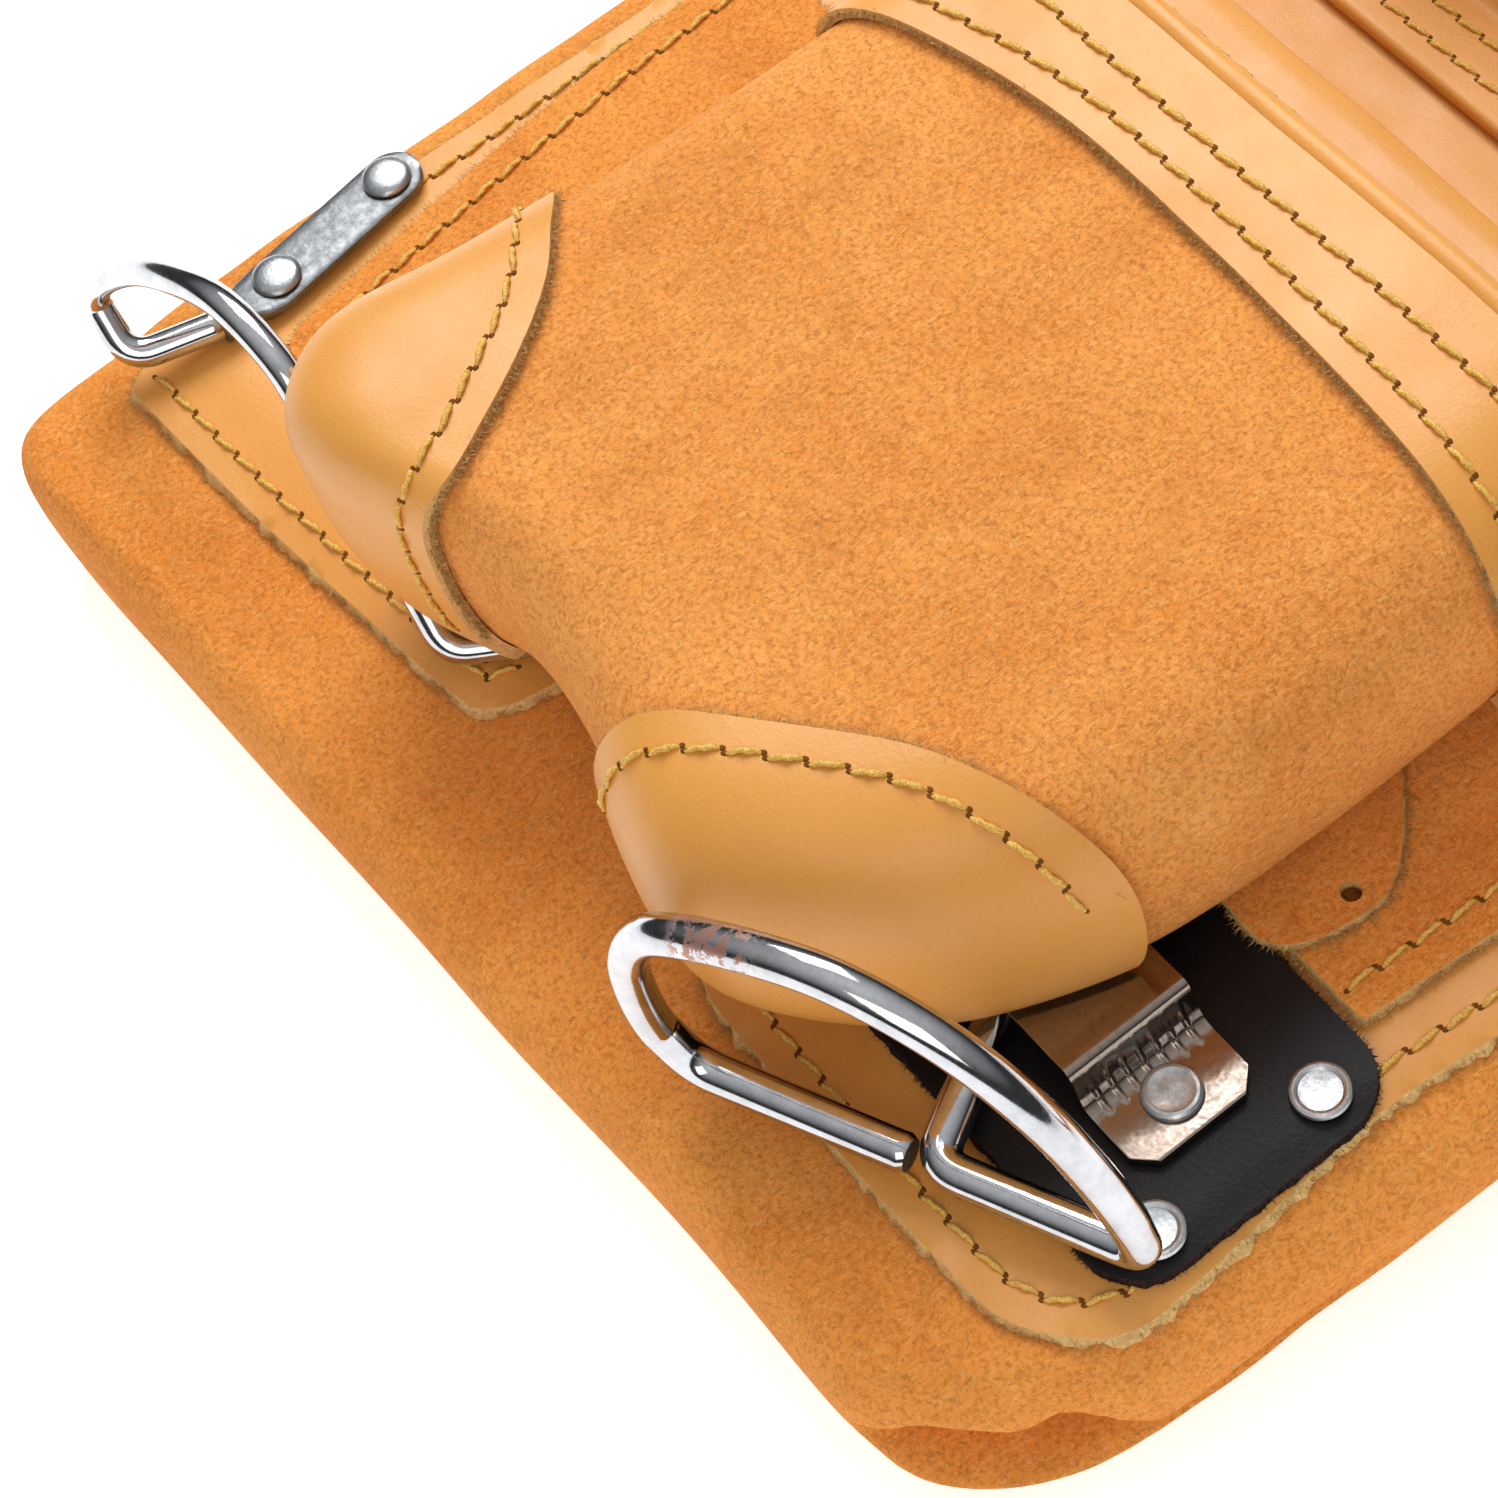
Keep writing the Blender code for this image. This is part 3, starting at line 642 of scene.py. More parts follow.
def base_shape(p, side):
    left = smoothstep(-95.0, -122.0, p.x)
    if side > 0:
        return 14.0 + 4.0 * left, BASE_TOP - 14.0 - 4.0 * left, 17.0 - 7.0 * left
    return 14.0 + 4.0 * left, 10.6 + 4.0 * left, 15.0


def base_relief(p):
    """Slow sag and dents of the main pocket's front."""
    over = smoothstep(12.0, 24.0, p.z)
    wave = 1.3 * wobble(p.x, p.y, 0, 42, 1) + 0.5 * wobble(p.x, p.y, 0, 15, 2)
    edge = 1.6 * wobble(p.x, p.y, p.z, 55, 3)
    valley = -2.2 * over * smoothstep(-15, -32, p.y) * smoothstep(-54, -42, p.y) * smoothstep(60, -20, p.x)
    flat = 1 - 0.75 * smoothstep(-30, -20, p.y) * smoothstep(115, 105, abs(p.x))
    moved = Vector((p.x + 0.5 * edge, p.y + edge * smoothstep(-30, -50, p.y), p.z + over * (wave * flat + valley)))
    corner = Vector((p.x - 96, p.y + 44, 0))
    reach = corner.length
    pucker = sin(7 * atan2(corner.y, corner.x) + 2 * wobble(p.x, p.y, 0, 20, 14))
    pucker = pucker * smoothstep(34, 14, reach) * smoothstep(3, 13, reach)
    moved.z += 0.9 * pucker * smoothstep(8, 20, p.z)
    around = 0.707 * (p.x + p.y)
    near = smoothstep(62, 88, p.x)
    lens = near * smoothstep(25, 40, around) * smoothstep(70, 55, around)
    crease = near * smoothstep(50, 62, around) * smoothstep(104, 84, around)
    level = 12.5 + 1.6 * wobble(p.x, p.y, 0, 24, 15) - 3.0 * crease * (1 - lens)
    inward = Vector((40 - p.x, -p.y, 0)).normalized()
    fold = (18.0 * lens + 4.0 * crease) * exp(-((p.z - level) / (1.2 + 2.4 * lens)) ** 2)
    tuck = (3.4 * lens + 2.2 * crease) * smoothstep(level, level + 3, p.z) * smoothstep(30, 23, p.z)
    return moved + inward * (fold * smoothstep(24, 16, p.z) + tuck - 3.0 * lens * smoothstep(9, 5, p.z))


def front_shape(p, side):
    left = smoothstep(20.0, -40.0, p.x)
    middle = 57.0 + 11.0 * left
    if side > 0:
        return middle, 80.0 - middle, 21.0 - 6.0 * left
    return middle, middle - 36.5, 11.0 + 8.0 * left


def front_relief(p):
    over = smoothstep(45.0, 70.0, p.z)
    dome = 1.5 * over * cos(min(abs(p.x - 8) / 75, 1) * pi / 2)
    wave = 1.0 * wobble(p.x, p.y, p.z, 38, 5) + 0.35 * wobble(p.x, p.y, p.z, 13, 6)
    tip = 2.5 * over * smoothstep(-25, -50, p.x) * smoothstep(10, -20, p.y)
    return Vector((p.x + 0.7 * wave, p.y + 0.5 * wave, p.z + over * (wave + dome * 0.6) + tip))


def pocket(node, outline, spine, levels, shape, relief, mat):
    """A suede pocket with a wall of its own. Gives its bare outer surface and a search tree of that."""
    obj = soft_pocket(node + "_suede", outline, spine, levels, shape, mat)
    reshape(obj, relief)
    outer, tree = duplicate(obj, node + "_outer"), tree_of(obj)
    thicken(obj, SUEDE_T, -1)
    place(obj, "bag", "suede", node)
    return outer, tree


def skin(name, outer, region, node, low):
    """Leather sewn over part of the front pocket: an offset of its surface, cut by an upright outline."""
    obj = duplicate(outer, name, LEATHER)
    margin = 4.0
    x0, x1 = min(p[0] for p in region) - margin, max(p[0] for p in region) + margin
    y0, y1 = min(p[1] for p in region) - margin, max(p[1] for p in region) + margin
    with edited(obj) as bm:
        bm.normal_update()
        for v in bm.verts:
            v.co += v.normal * (LAYER * MM)
        far = []
        for face in bm.faces:
            p = face.calc_center_median() / MM
            if not (x0 < p.x < x1 and y0 < p.y < y1 and p.z > low - margin):
                far.append(face)
        bmesh.ops.delete(bm, geom=far, context="FACES")
    thicken(obj, TRIM_T, 1)
    cut(obj, prism(region, low, 150, EDGE), "INTERSECT")
    tidy_normals(obj, 40)
    place(obj, "bag", "smooth_leather", node)


def build_trim(outer):
    for name, node, edge, rest, low in (
            ("left_corner_skin", "left_corner_patch", PATCH_LEFT, [(-120, -60), (-120, 24.6)], 37.0),
            ("right_corner_skin", "right_corner_patch", PATCH_RIGHT, [(120, 20), (120, -60), (10, -60)], 42.5),
            ("mouth_band_skin", "front_pocket_band", BAND_EDGE,
             [(120, 76), (120, 140), (-120, 140), (-120, 66)], 40.0)):
        skin(name, outer, plan(edge) + rest, node, low)


# ======================= flat and sewn pieces =======================
def base_top(x, y):
    return drop(base_tree, x, y)


def strip_top(x, y):
    return base_top(x, y) + 0.2 + STRIP_T


def layer_top(x, y):
    """First layer over the strips; it spans the gap between them."""
    return max(strip_top(x, y), BASE_TOP + 1.2) + LAYER + LAYER_T


def tongue_top(x, y):
    return layer_top(x, y) + 0.2 + 1.4 + 0.5 * wobble(x, y, 0, 12, 8) * smoothstep(40, 34, y)


def inside(outline, x, y):
    hit = False
    for (ax, ay), (bx, by) in zip(outline, outline[1:] + outline[:1]):
        if (ay > y) != (by > y) and x < (bx - ax) * (y - ay) / (by - ay) + ax:
            hit = not hit
    return hit


def closed(outline, step=1.2):
    """Closed outline resampled evenly; its points are kept as (x, y)."""
    path = resample(list(outline) + [outline[0]], step)
    return [(p.x, p.y) for p in path[:-1]]


def sheet(name, outline, top, thick, mats, step=1.8, rough=0.35, holes=()):
    """Piece of leather: flat pattern laid on the surface that top(x, y) gives, with a worn cut edge."""
    rims = [closed(outline)] + [list(hole) for hole in holes]
    flat, edges, spans = [], [], []
    for rim in rims:
        first = len(flat)
        flat += [Vector(p) for p in rim]
        edges += [(first + i, first + (i + 1) % len(rim)) for i in range(len(rim))]
        spans.append((first, len(rim)))
    xs, ys = [p[0] for p in rims[0]], [p[1] for p in rims[0]]
    border = list(flat)
    near = {}
    for p in border:
        near.setdefault((int(p.x // 2), int(p.y // 2)), []).append(p)
    y, row = min(ys), 0
    while y < max(ys):
        x = min(xs) + (row % 2) * step / 2
        while x < max(xs):
            cell = (int(x // 2), int(y // 2))
            close = any((q - Vector((x, y))).length < 0.8 * step for i in (-1, 0, 1) for j in (-1, 0, 1)
                        for q in near.get((cell[0] + i, cell[1] + j), ()))
            if not close and inside(rims[0], x, y) and not any(inside(h, x, y) for h in rims[1:]):
                flat.append(Vector((x, y)))
            x += step
        y += step * 0.87
        row += 1
    points, _, faces, *_ = delaunay_2d_cdt(flat, edges, [], 1, 1e-5)
    faces = [f for f in faces if not any(inside(h, sum(points[i].x for i in f) / 3, sum(points[i].y for i in f) / 3)
                                         for h in rims[1:])]
    high = [Vector((p.x, p.y, top(p.x, p.y))) for p in points]
    count = len(points)
    verts = high + [p - Vector((0, 0, thick)) for p in high]
    tris = [tuple(f) for f in faces] + [tuple(count + i for i in reversed(f)) for f in faces]
    surface = len(tris)
    for first, size in spans:
        mids = []
        for i in range(size):
            a, b = flat[first + i - 1 if i else first + size - 1], flat[first + (i + 1) % size]
            out = Vector((b.y - a.y, a.x - b.x)).normalized()
            p = high[first + i]
            bulge = rough * (0.5 + 0.9 * wobble(p.x, p.y, 0, 2.2, 9))
            mids.append(len(verts))
            verts.append(p + Vector((out.x * bulge, out.y * bulge, -thick * 0.5)))
            skirt = max(0.0, bulge * 1.5 - 0.2)
            verts[count + first + i] = p + Vector((out.x * skirt, out.y * skirt, -thick))
        for i in range(size):
            j = (i + 1) % size
            tris += [(first + i, mids[i], mids[j], first + j),
                     (mids[i], count + first + i, count + first + j, mids[j])]
    obj = new_object(name, verts, tris, mats, 42)
    if len(mats) > 1:
        for poly in obj.data.polygons[surface:]:
            poly.material_index = 1
    return obj


def stitches(name, path, lay, body="bag", pitch=5.6, gap=0.6, r=0.56, side=1):
    """Row of twisted thread stitches with the needle holes they dive into; each hole is a small dark disc of painted
    shade.

    lay(point) gives the point on the leather and its normal.
    """
    path = resample(path, 0.4)
    per = round(pitch / 0.4)
    verts, faces, shade_v, shade_f = [], [], [], []
    rings, sides = 11, 8
    spots = []
    for start in range(0, len(path) - per, per):
        a, b = path[start], path[start + per]
        shift = 0.25 * wobble(a.x, a.y, a.z, 5, 4)
        first = len(verts)
        pa, na = lay(a)
        pb, nb = lay(b)
        along = (pb - pa)
        across = along.cross(na + nb).normalized() * side
        pa, pb = pa + along * (gap / pitch / 2) + across * 0.35, pb - along * (gap / pitch / 2) - across * 0.35
        spots += [(pa, na, along), (pb, nb, along)]
        for k in range(rings):
            t = k / (rings - 1)
            middle, normal = lay(pa.lerp(pb, t))
            normal = normal.normalized()
            lift = -0.35 + (0.85 + shift * 0.4) * sin(pi * t) ** 0.5
            centre = middle + normal * lift + across * shift * sin(pi * t)
            way = along.normalized()
            u = normal
            v = way.cross(u).normalized()
            for j in range(sides):
                angle = 2 * pi * j / sides
                rr = r * (0.80 + 0.20 * cos(2 * (angle - t * 7.5))) * (0.75 + 0.25 * sin(pi * t))
                verts.append(centre + u * (rr * cos(angle)) + v * (rr * sin(angle)))
        faces += loft(rings, sides, first)
    # Painted shade: a small dark disc at each needle hole.
    for p, normal, along in spots:
        normal = normal.normalized()
        u = along.normalized()
        v = normal.cross(u).normalized()
        first = len(shade_v)
        shade_v.append(p + normal * 0.16)
        for ring, (size, height) in enumerate(((0.6, 0.14), (1.0, 0.02), (1.0, -0.25))):
            for j in range(8):
                angle = 2 * pi * j / 8
                shade_v.append(p + u * (0.62 * size * cos(angle)) + v * (0.44 * size * sin(angle)) + normal * height)
        for j in range(8):
            q = (j + 1) % 8
            shade_f.append((first, first + 1 + j, first + 1 + q))
            for ring in (0, 1):
                shade_f.append((first + 1 + ring * 8 + j, first + 9 + ring * 8 + j, first + 9 + ring * 8 + q,
                               first + 1 + ring * 8 + q))
        shade_f.append(tuple(first + 17 + j for j in range(8))[::-1])
    place(new_object(name + "_thread", verts, faces, THREAD, 0), body, None)
    place(new_object(name + "_holes_painted_shade", shade_v, shade_f, HOLE_SHADE, 0), body, None)


def on_top(top):
    """Lay rule for a surface given by its height over the plan."""
    def lay(p):
        z = top(p.x, p.y)
        slope_x = (top(p.x + 0.5, p.y) - top(p.x - 0.5, p.y))
        slope_y = (top(p.x, p.y + 0.5) - top(p.x, p.y - 0.5))
        return Vector((p.x, p.y, z)), Vector((-slope_x, -slope_y, 1)).normalized()
    return lay


def on_front(lift):
    """Lay rule for a skin of the front pocket."""
    def lay(p):
        near, normal, *_ = front_tree.find_nearest(p)
        if normal.dot(near - Vector((8, 40, 58))) < 0:
            normal = -normal
        return near + normal * lift, normal
    return lay


def fuzz(name, points, mat, body="bag", each=9, length=1.5, r=0.10):
    """Loose fibres along a cut edge. points are (place, outward direction)."""
    rand = Random(name)
    verts, faces = [], []
    for p, out in points:
        for _ in range(each):
            stray = Vector((rand.uniform(-1, 1), rand.uniform(-1, 1), rand.uniform(-0.7, 0.9)))
            way = (out + stray * 0.75).normalized()
            root = p + stray * 0.5 - way * 0.2
            tip = root + way * length * rand.uniform(0.4, 1.3) + stray * 0.15
            u = way.orthogonal().normalized() * r
            v = way.cross(u)
            first = len(verts)
            verts += [root + u, root - u * 0.5 + v * 0.87, root - u * 0.5 - v * 0.87, tip]
            faces += [(first, first + 1, first + 3), (first + 1, first + 2, first + 3),
                      (first + 2, first, first + 3), (first + 2, first + 1, first)]
    return place(new_object(name, verts, faces, mat, 0), body, None)


def edge_points(outline, top, down, keep=None):
    """Places round a sheet's outline with their outward directions, for fuzz."""
    rim = closed(outline, 0.9)
    out = []
    for i, (x, y) in enumerate(rim):
        ax, ay = rim[i - 1]
        bx, by = rim[(i + 1) % len(rim)]
        if keep is None or keep(x, y):
            out.append((Vector((x, y, top(x, y) - down)), Vector((by - ay, ax - bx, 0)).normalized()))
    return out


def along(points, shift=0.0):
    """Plan path moved sideways to its left, as 3-D points at z 0."""
    path = curve_through(points, 0.8)
    out = []
    for i, p in enumerate(path):
        way = direction(path, i)
        out.append(Vector((p.x - way.y * shift, p.y + way.x * shift, 0)))
    return out


def build_strips():
    left = plan(LEFT_STRIP_SIDE) + plan(LEFT_STRIP_FOOT)[1:] + [(-22, 107)]
    right = [(24, 107)] + plan(RIGHT_STRIP_FOOT)
    for name, outline in (("left_strip", left), ("right_strip", right)):
        place(sheet(name + "_leather", outline, strip_top, STRIP_T, [LEATHER, EDGE], rough=1.1), "bag",
              "smooth_leather", name)
        fuzz(name + "_fuzz", edge_points(outline, strip_top, 1.0, lambda x, y: y < 100), FIBRE)
    lay = on_top(strip_top)
    stitches("left_strip_foot", along(LEFT_STRIP_FOOT[:-1], 4.6), lay)
    stitches("left_strip_side", along([(-119.5, 104), (-120, 60), (-121.5, 20)], 4.2), lay)
    stitches("right_strip_foot", along(RIGHT_STRIP_FOOT[1:], 4.6), lay)


def build_flanges():
    left = [(-62, -10), (-62, 90), (-115, 90)] + plan([(-115, 90), (-114, 60), (-111, 25), (-107, -4)])[1:]
    left += plan([(-106, -8), (-100, -11), (-62, -10)])
    right = [(60, 35.5)] + plan([(94.6, 35.5), (96.4, 57.2), (98, 76), (98.5, 95)]) + [(60, 95)]
    for node, outline, seam, keep in (
            ("left_flange", left, [(-109.5, 88), (-108.8, 60), (-106, 25), (-102.5, -4)], lambda x, y: x < -80),
            ("right_flange", right, [(89.6, 36.5), (91.2, 57), (92.8, 76), (93.4, 94)], lambda x, y: x > 80)):
        place(sheet(node + "_suede", outline, layer_top, LAYER_T, [SHADED_BASE_SUEDE, EDGE], rough=0.6), "bag", "suede",
              node)
        fuzz(node + "_fuzz", edge_points(outline, layer_top, 1.0, keep), FIBRE)
        stitches(node, along(seam), on_top(layer_top))
    tongue = [(62, 64), (62, 36)]
    tongue += plan([(68, 33.0), (77, 32.8), (81.6, 37.5), (83.3, 45.6), (82.6, 51), (78, 57), (70, 64)])
    hole = circle(*TONGUE_HOLE, 1.6, way=-1)
    place(sheet("gusset_tongue_suede", tongue, tongue_top, 1.3, [SHADED_BASE_SUEDE, EDGE], 1.2, 0.5, [hole]), "bag", "suede",
          "gusset_tongue")
    # Painted shade: a dark disc on the layer under the tongue's hole.
    verts, faces = lathe([(1.5, 0.0), (1.4, 0.12), (0.2, 0.12)], TONGUE_HOLE, layer_top(*TONGUE_HOLE) + 0.02, 20)
    place(new_object("tongue_hole_shade", verts, faces, HOLE_SHADE, 0), "bag", None)
    fuzz("gusset_tongue_fuzz", edge_points(tongue, tongue_top, 0.7, lambda x, y: x > 65), FIBRE)


# ======================= loops, plate and rivets =======================
def lathe(profile, centre, seat, sides=40):
    """Turned verts and faces about an upright axis; profile is (radius, height), from rim to centre."""
    verts = []
    for r, h in profile:
        verts += [(centre[0] + r * cos(2 * pi * k / sides), centre[1] + r * sin(2 * pi * k / sides), seat + h)
                  for k in range(sides)]
    return verts, loft(len(profile), sides)


DOME = [(4.0, 0.0), (4.05, 0.25), (3.85, 0.6), (3.3, 0.95), (2.4, 1.2), (1.2, 1.32), (0.3, 1.34)]
RIMMED = [(4.2, 0.0), (4.3, 0.35), (4.15, 0.8), (3.75, 1.0), (3.35, 0.9), (3.0, 0.62), (2.2, 0.5), (0.4, 0.48)]
CAPPED = [(4.3, 0.0), (4.35, 0.3), (4.2, 0.75), (3.8, 1.05), (3.35, 1.12), (3.1, 1.02), (1.6, 0.98), (0.3, 1.0)]


def rivet(node, profile, mat, body="bag", slot="zinc_rivet"):
    low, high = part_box(node)
    centre = ((low[0] + high[0]) / 2 / MM, (low[1] + high[1]) / 2 / MM)
    verts, faces = lathe(profile, centre, low[2] / MM)
    place(new_object(node + "_cap", verts, faces, mat, 28), body, slot, node)


def build_swing_ring():
    chord = (RING_RIGHT - RING_LEFT).normalized()
    stem = (PIVOT - STEM_FOOT).normalized()
    start = Vector((*(STEM_FOOT - chord * 3.4), RING_Z))
    shape = [(0.0, 0.0), (-0.055, 0.13), (-0.075, 0.33), (-0.055, 0.58), (0.02, 0.79), (0.14, 0.90),
             (0.30, 0.975), (0.45, 1.0), (0.60, 0.945), (0.73, 0.83), (0.85, 0.63), (0.93, 0.40),
             (0.98, 0.18), (1.0, 0.0)]
    arch = []
    for p in curve_through(shape, 0.015):
        q = RING_LEFT + (RING_RIGHT - RING_LEFT) * p.x
        arch.append(Vector((q.x, q.y, RING_Z + ARCH_H * p.y)))
    cut_at = 12
    left = fillet([start, arch[0], arch[cut_at]], 4.2, 14)
    right = fillet([arch[-cut_at], arch[-1], Vector((*STEM_FOOT, RING_Z)), Vector((*(PIVOT - stem * 4), RING_Z))],
                   4.2, 14)
    path = resample(left[:-1] + arch[cut_at:-cut_at] + right[1:], 0.8)
    wire = tube("swing_ring_wire", path, RING_R, [rusty_chrome(arch[round(len(arch) * 0.42)]), CUT_STEEL], 36, 0.5)
    wire.data.polygons[-2].material_index = 1     # the sawn end by the stem
    place(wire, "hammer_ring", "chromed_steel", "swing_hammer_loop")
    eye = [(7.0, -2.5), (7.0, 2.5), (2.56, 2.5), (2.56, -2.5)]
    sides = 40
    verts = [(PIVOT.x + r * cos(2 * pi * k / sides), PIVOT.y + r * sin(2 * pi * k / sides), RING_Z + h)
             for r, h in eye for k in range(sides)]
    faces = [(i * sides + k, i * sides + (k + 1) % sides, (i + 1) % 4 * sides + (k + 1) % sides,
              (i + 1) % 4 * sides + k) for i in range(4) for k in range(sides)]
    place(new_object("swing_ring_eye", verts, faces, CHROME, 40), "hammer_ring", "chromed_steel")


def build_fixed_loop():
    foot_a, foot_b = LOOP_FEET
    chord = foot_b - foot_a
    across = Vector((-chord.y, chord.x)).normalized()
    up = Vector((across.x * sin(LOOP_LEAN), across.y * sin(LOOP_LEAN), cos(LOOP_LEAN)))
    base = Vector((*foot_a, LOOP_Z))
    shape = [(0.0, 0.0), (-0.078, 0.16), (-0.055, 0.37), (0.09, 0.69), (0.24, 0.89), (0.385, 1.0),
             (0.52, 0.96), (0.60, 0.84), (0.76, 0.45), (0.84, 0.31), (0.90, 0.17), (0.96, 0.0)]
    arch = [base + Vector((*chord, 0)) * p.x + up * (LOOP_H * p.y)
            for p in curve_through(shape, 0.015)]
    (ax, ay), (bx, by) = TABS[0][0], TABS[1][0]
    cut_at = 14
    start = fillet([Vector((ax, ay, LOOP_Z)), arch[0], arch[cut_at]], 6, 14)
    end = fillet([arch[-cut_at], arch[-1], Vector((bx, by, LOOP_Z))], 6, 14)
    path = resample(start[:-1] + arch[cut_at:-cut_at] + end[1:], 0.8)
    place(tube("fixed_loop_wire", path, LOOP_R, CHROME, 32), "bag", "chromed_steel", "fixed_hammer_loop")
    for number, (low, high) in enumerate(TABS):
        build_tab(f"fixed_loop_tab_{number + 1}", Vector(low), Vector(high))


def build_tab(name, low, high):
    """Wire end beaten flat: it spreads from the wire's width to a thin strip with a round far end."""
    along_tab = (high - low).normalized()
    side = Vector((-along_tab.y, along_tab.x))
    length = (high - low).length
    half_end = 5.0
    verts = []
    stations = [-1.0, 0.0, 2.0, 4.0, 6.5, 9.5] + [9.5 + (length - half_end - 9.5) * i / 10 for i in range(1, 11)]
    stations += [length - half_end + half_end * sin(pi / 2 * i / 12) for i in range(1, 13)]
    ring = 12
    for s in stations:
        spread = smoothstep(0.0, 9.0, s)
        half = 2.4 + (half_end - 2.4) * spread
        if s > length - half_end:
            half = max(0.3, half_end * (1 - ((s - length + half_end) / half_end) ** 2) ** 0.5)
        thick = 4.6 + (1.9 - 4.6) * spread
        middle = low + along_tab * s
        for k in range(ring):
            a = 2 * pi * (k + 0.5) / ring
            u = abs(cos(a)) ** 0.35 * (1 if cos(a) > 0 else -1) * half
            v = abs(sin(a)) ** 0.35 * (1 if sin(a) > 0 else -1) * thick / 2
            p = middle + side * u
            verts.append((p.x, p.y, TAB_SEAT + thick / 2 + v))
    place(new_object(name, verts, loft(len(stations), ring), TAB_ZINC, 45), "bag", "chromed_steel")


def build_plate():
    """Sprung keeper plate: raised middle with a rolled lip, a slope with press ribs and flat ends."""
    low, high, t, corner = 33.95, 41.2, 1.3, 3.0
    a, b, c, d = PLATE_X
    line = [(a, low), (b - 1.6, low), (b - 0.6, low + 0.5), (b - 0.1, high - 1.2), (b + 0.7, high - 0.25),
            (b + 2.5, high), (c - 4.0, high - 0.1), (c - 2.3, high + 0.15), (c - 1.0, high + 0.3),
            (c - 0.1, high - 0.1), (c + 0.5, high - 1.4), (c + 1.2, low + 2.4), (c + 2.2, low + 0.7),
            (c + 3.3, low + 0.1), (c + 4.5, low), (d, low)]
    line = resample([(x, 0, z) for x, z in line], 0.45)
    across = 96
    verts = []
    for p in line:
        chamfer = max(0.0, corner - (p.x - a), corner - (d - p.x))
        y0, y1 = PLATE_Y[0] + chamfer, PLATE_Y[1] - chamfer
        slope = smoothstep(c + 0.4, c + 1.2, p.x) * smoothstep(c + 5.0, c + 3.6, p.x)
        for k in range(across + 1):
            v = k / across
            rib = max(0.0, cos(2 * pi * 8 * v)) ** 2 * slope * smoothstep(0.04, 0.12, v) * smoothstep(0.96, 0.88, v)
            verts.append((p.x + rib * 0.30, y0 + (y1 - y0) * v, p.z + rib * 0.25))
    plate = new_object("keeper_plate_pressed", verts, grid(len(line), across + 1), PLATE_NICKEL, 0)
    normal = plate.data.polygons[0].normal.z
    thicken(plate, t, -1 if normal > 0 else 1)
    bevelled(plate, 0.22, 2, 60)
    tidy_normals(plate, 50)
    place(plate, "bag", "nickel_plate", "keeper_plate")


def build_mount():
    outline = rounded_box(11.5, 96.5, -5.0, 24.5, 9)
    place(sheet("black_patch_leather", outline, layer_top, LAYER_T, [BLACK, DARK_EDGE], 1.5, 0.45), "bag",
          "black_leather", "black_patch")
    fuzz("black_patch_fuzz", edge_points(outline, layer_top, 1.0), DARK_EDGE, length=0.6)
    build_plate()
    for i in range(4):
        rivet(f"patch_rivet_{i + 1}", RIMMED, ZINC)
        rivet(f"fixed_loop_rivet_{i + 1}", DOME, DOME_ZINC)
    for i in range(2):
        rivet(f"keeper_rivet_{i + 1}", CAPPED, ZINC)
        rivet(f"belt_rivet_{i + 1}", DOME, ZINC, "belt")


# ======================= seams of the front pocket =======================
def front_point(plan_point):
    """Point of the pocket's skin above a plan point, or None outside it."""
    hit = front_tree.ray_cast(Vector((plan_point[0], plan_point[1], 200)), Vector((0, 0, -1)))
    return hit[0]


def seam_on_front(points, foot=None):
    """The upright outline through points, laid on the pocket's skin.

    foot is (x, z): the seam goes on down the pocket's end wall at x, to height z.
    """
    path = [front_point(p) for p in curve_through(points, 0.5)]
    path = [p for p in path if p]
    if foot:
        x, low = foot
        z = path[-1].z - 1.0
        while z > low:
            hit = front_tree.ray_cast(Vector((x, -200, z)), Vector((0, 1, 0)))
            if hit[0]:
                path.append(hit[0])
            z -= 1.0
    return resample(path, 0.6)


def beside(path, shift, lift):
    """Path on the skin moved sideways along the surface."""
    lay = on_front(lift)
    out = []
    for i, p in enumerate(path):
        way = direction(path, i, 2)
        spot, normal = lay(p)
        out.append(lay(spot + normal.cross(way).normalized() * shift)[0])
    smooth = [out[0]] + [(a + b * 2 + c) / 4 for a, b, c in zip(out, out[1:], out[2:])] + [out[-1]]
    return resample(smooth, 0.6)


def across_front(y):
    """Line round the front pocket at one y, from its left underside over the top to its right."""
    centre = Vector((8, y, 58))
    path = []
    for i in range(121):
        a = radians(200 - 220 * i / 120)
        way = Vector((cos(a) * 2.2, 0, sin(a)))
        hit = front_tree.ray_cast(centre + way.normalized() * 200, -way.normalized())
        if hit[0]:
            path.append(hit[0])
    return path


def build_seams():
    skin_top = LAYER + TRIM_T
    lay = on_front(skin_top)
    left = seam_on_front(PATCH_LEFT, PATCH_FOOT)
    stitches("left_patch", beside(left, -PATCH_SEAM, skin_top), lay)
    right = seam_on_front(PATCH_RIGHT)
    stitches("right_patch", beside(right, -PATCH_SEAM, skin_top), lay)
    band = seam_on_front(BAND_EDGE)
    stitches("band_low", beside(band, BAND_SEAMS[0], skin_top), lay)
    rim = across_front(MOUTH_Y)
    stitches("band_high", beside(rim, -BAND_SEAMS[1], skin_top), lay)
    for name, seam, way in (("left_patch", left, 1), ("right_patch", right, 1), ("band", band, -1)):
        points = []
        for a, b in zip(seam, seam[1:]):
            spot, normal = on_front(LAYER + 0.9)(a)
            points.append((spot, normal.cross((b - a).normalized()).normalized() * way))
        fuzz(name + "_fuzz", points, FIBRE, each=7)
    path = [on_front(0.6)(p)[0] + Vector((0, 0.6, 0)) for p in rim]
    roll = tube("mouth_roll", resample(path, 1.5), 2.3, LEATHER, 18, 0.6)
    place(roll, "bag", "smooth_leather")


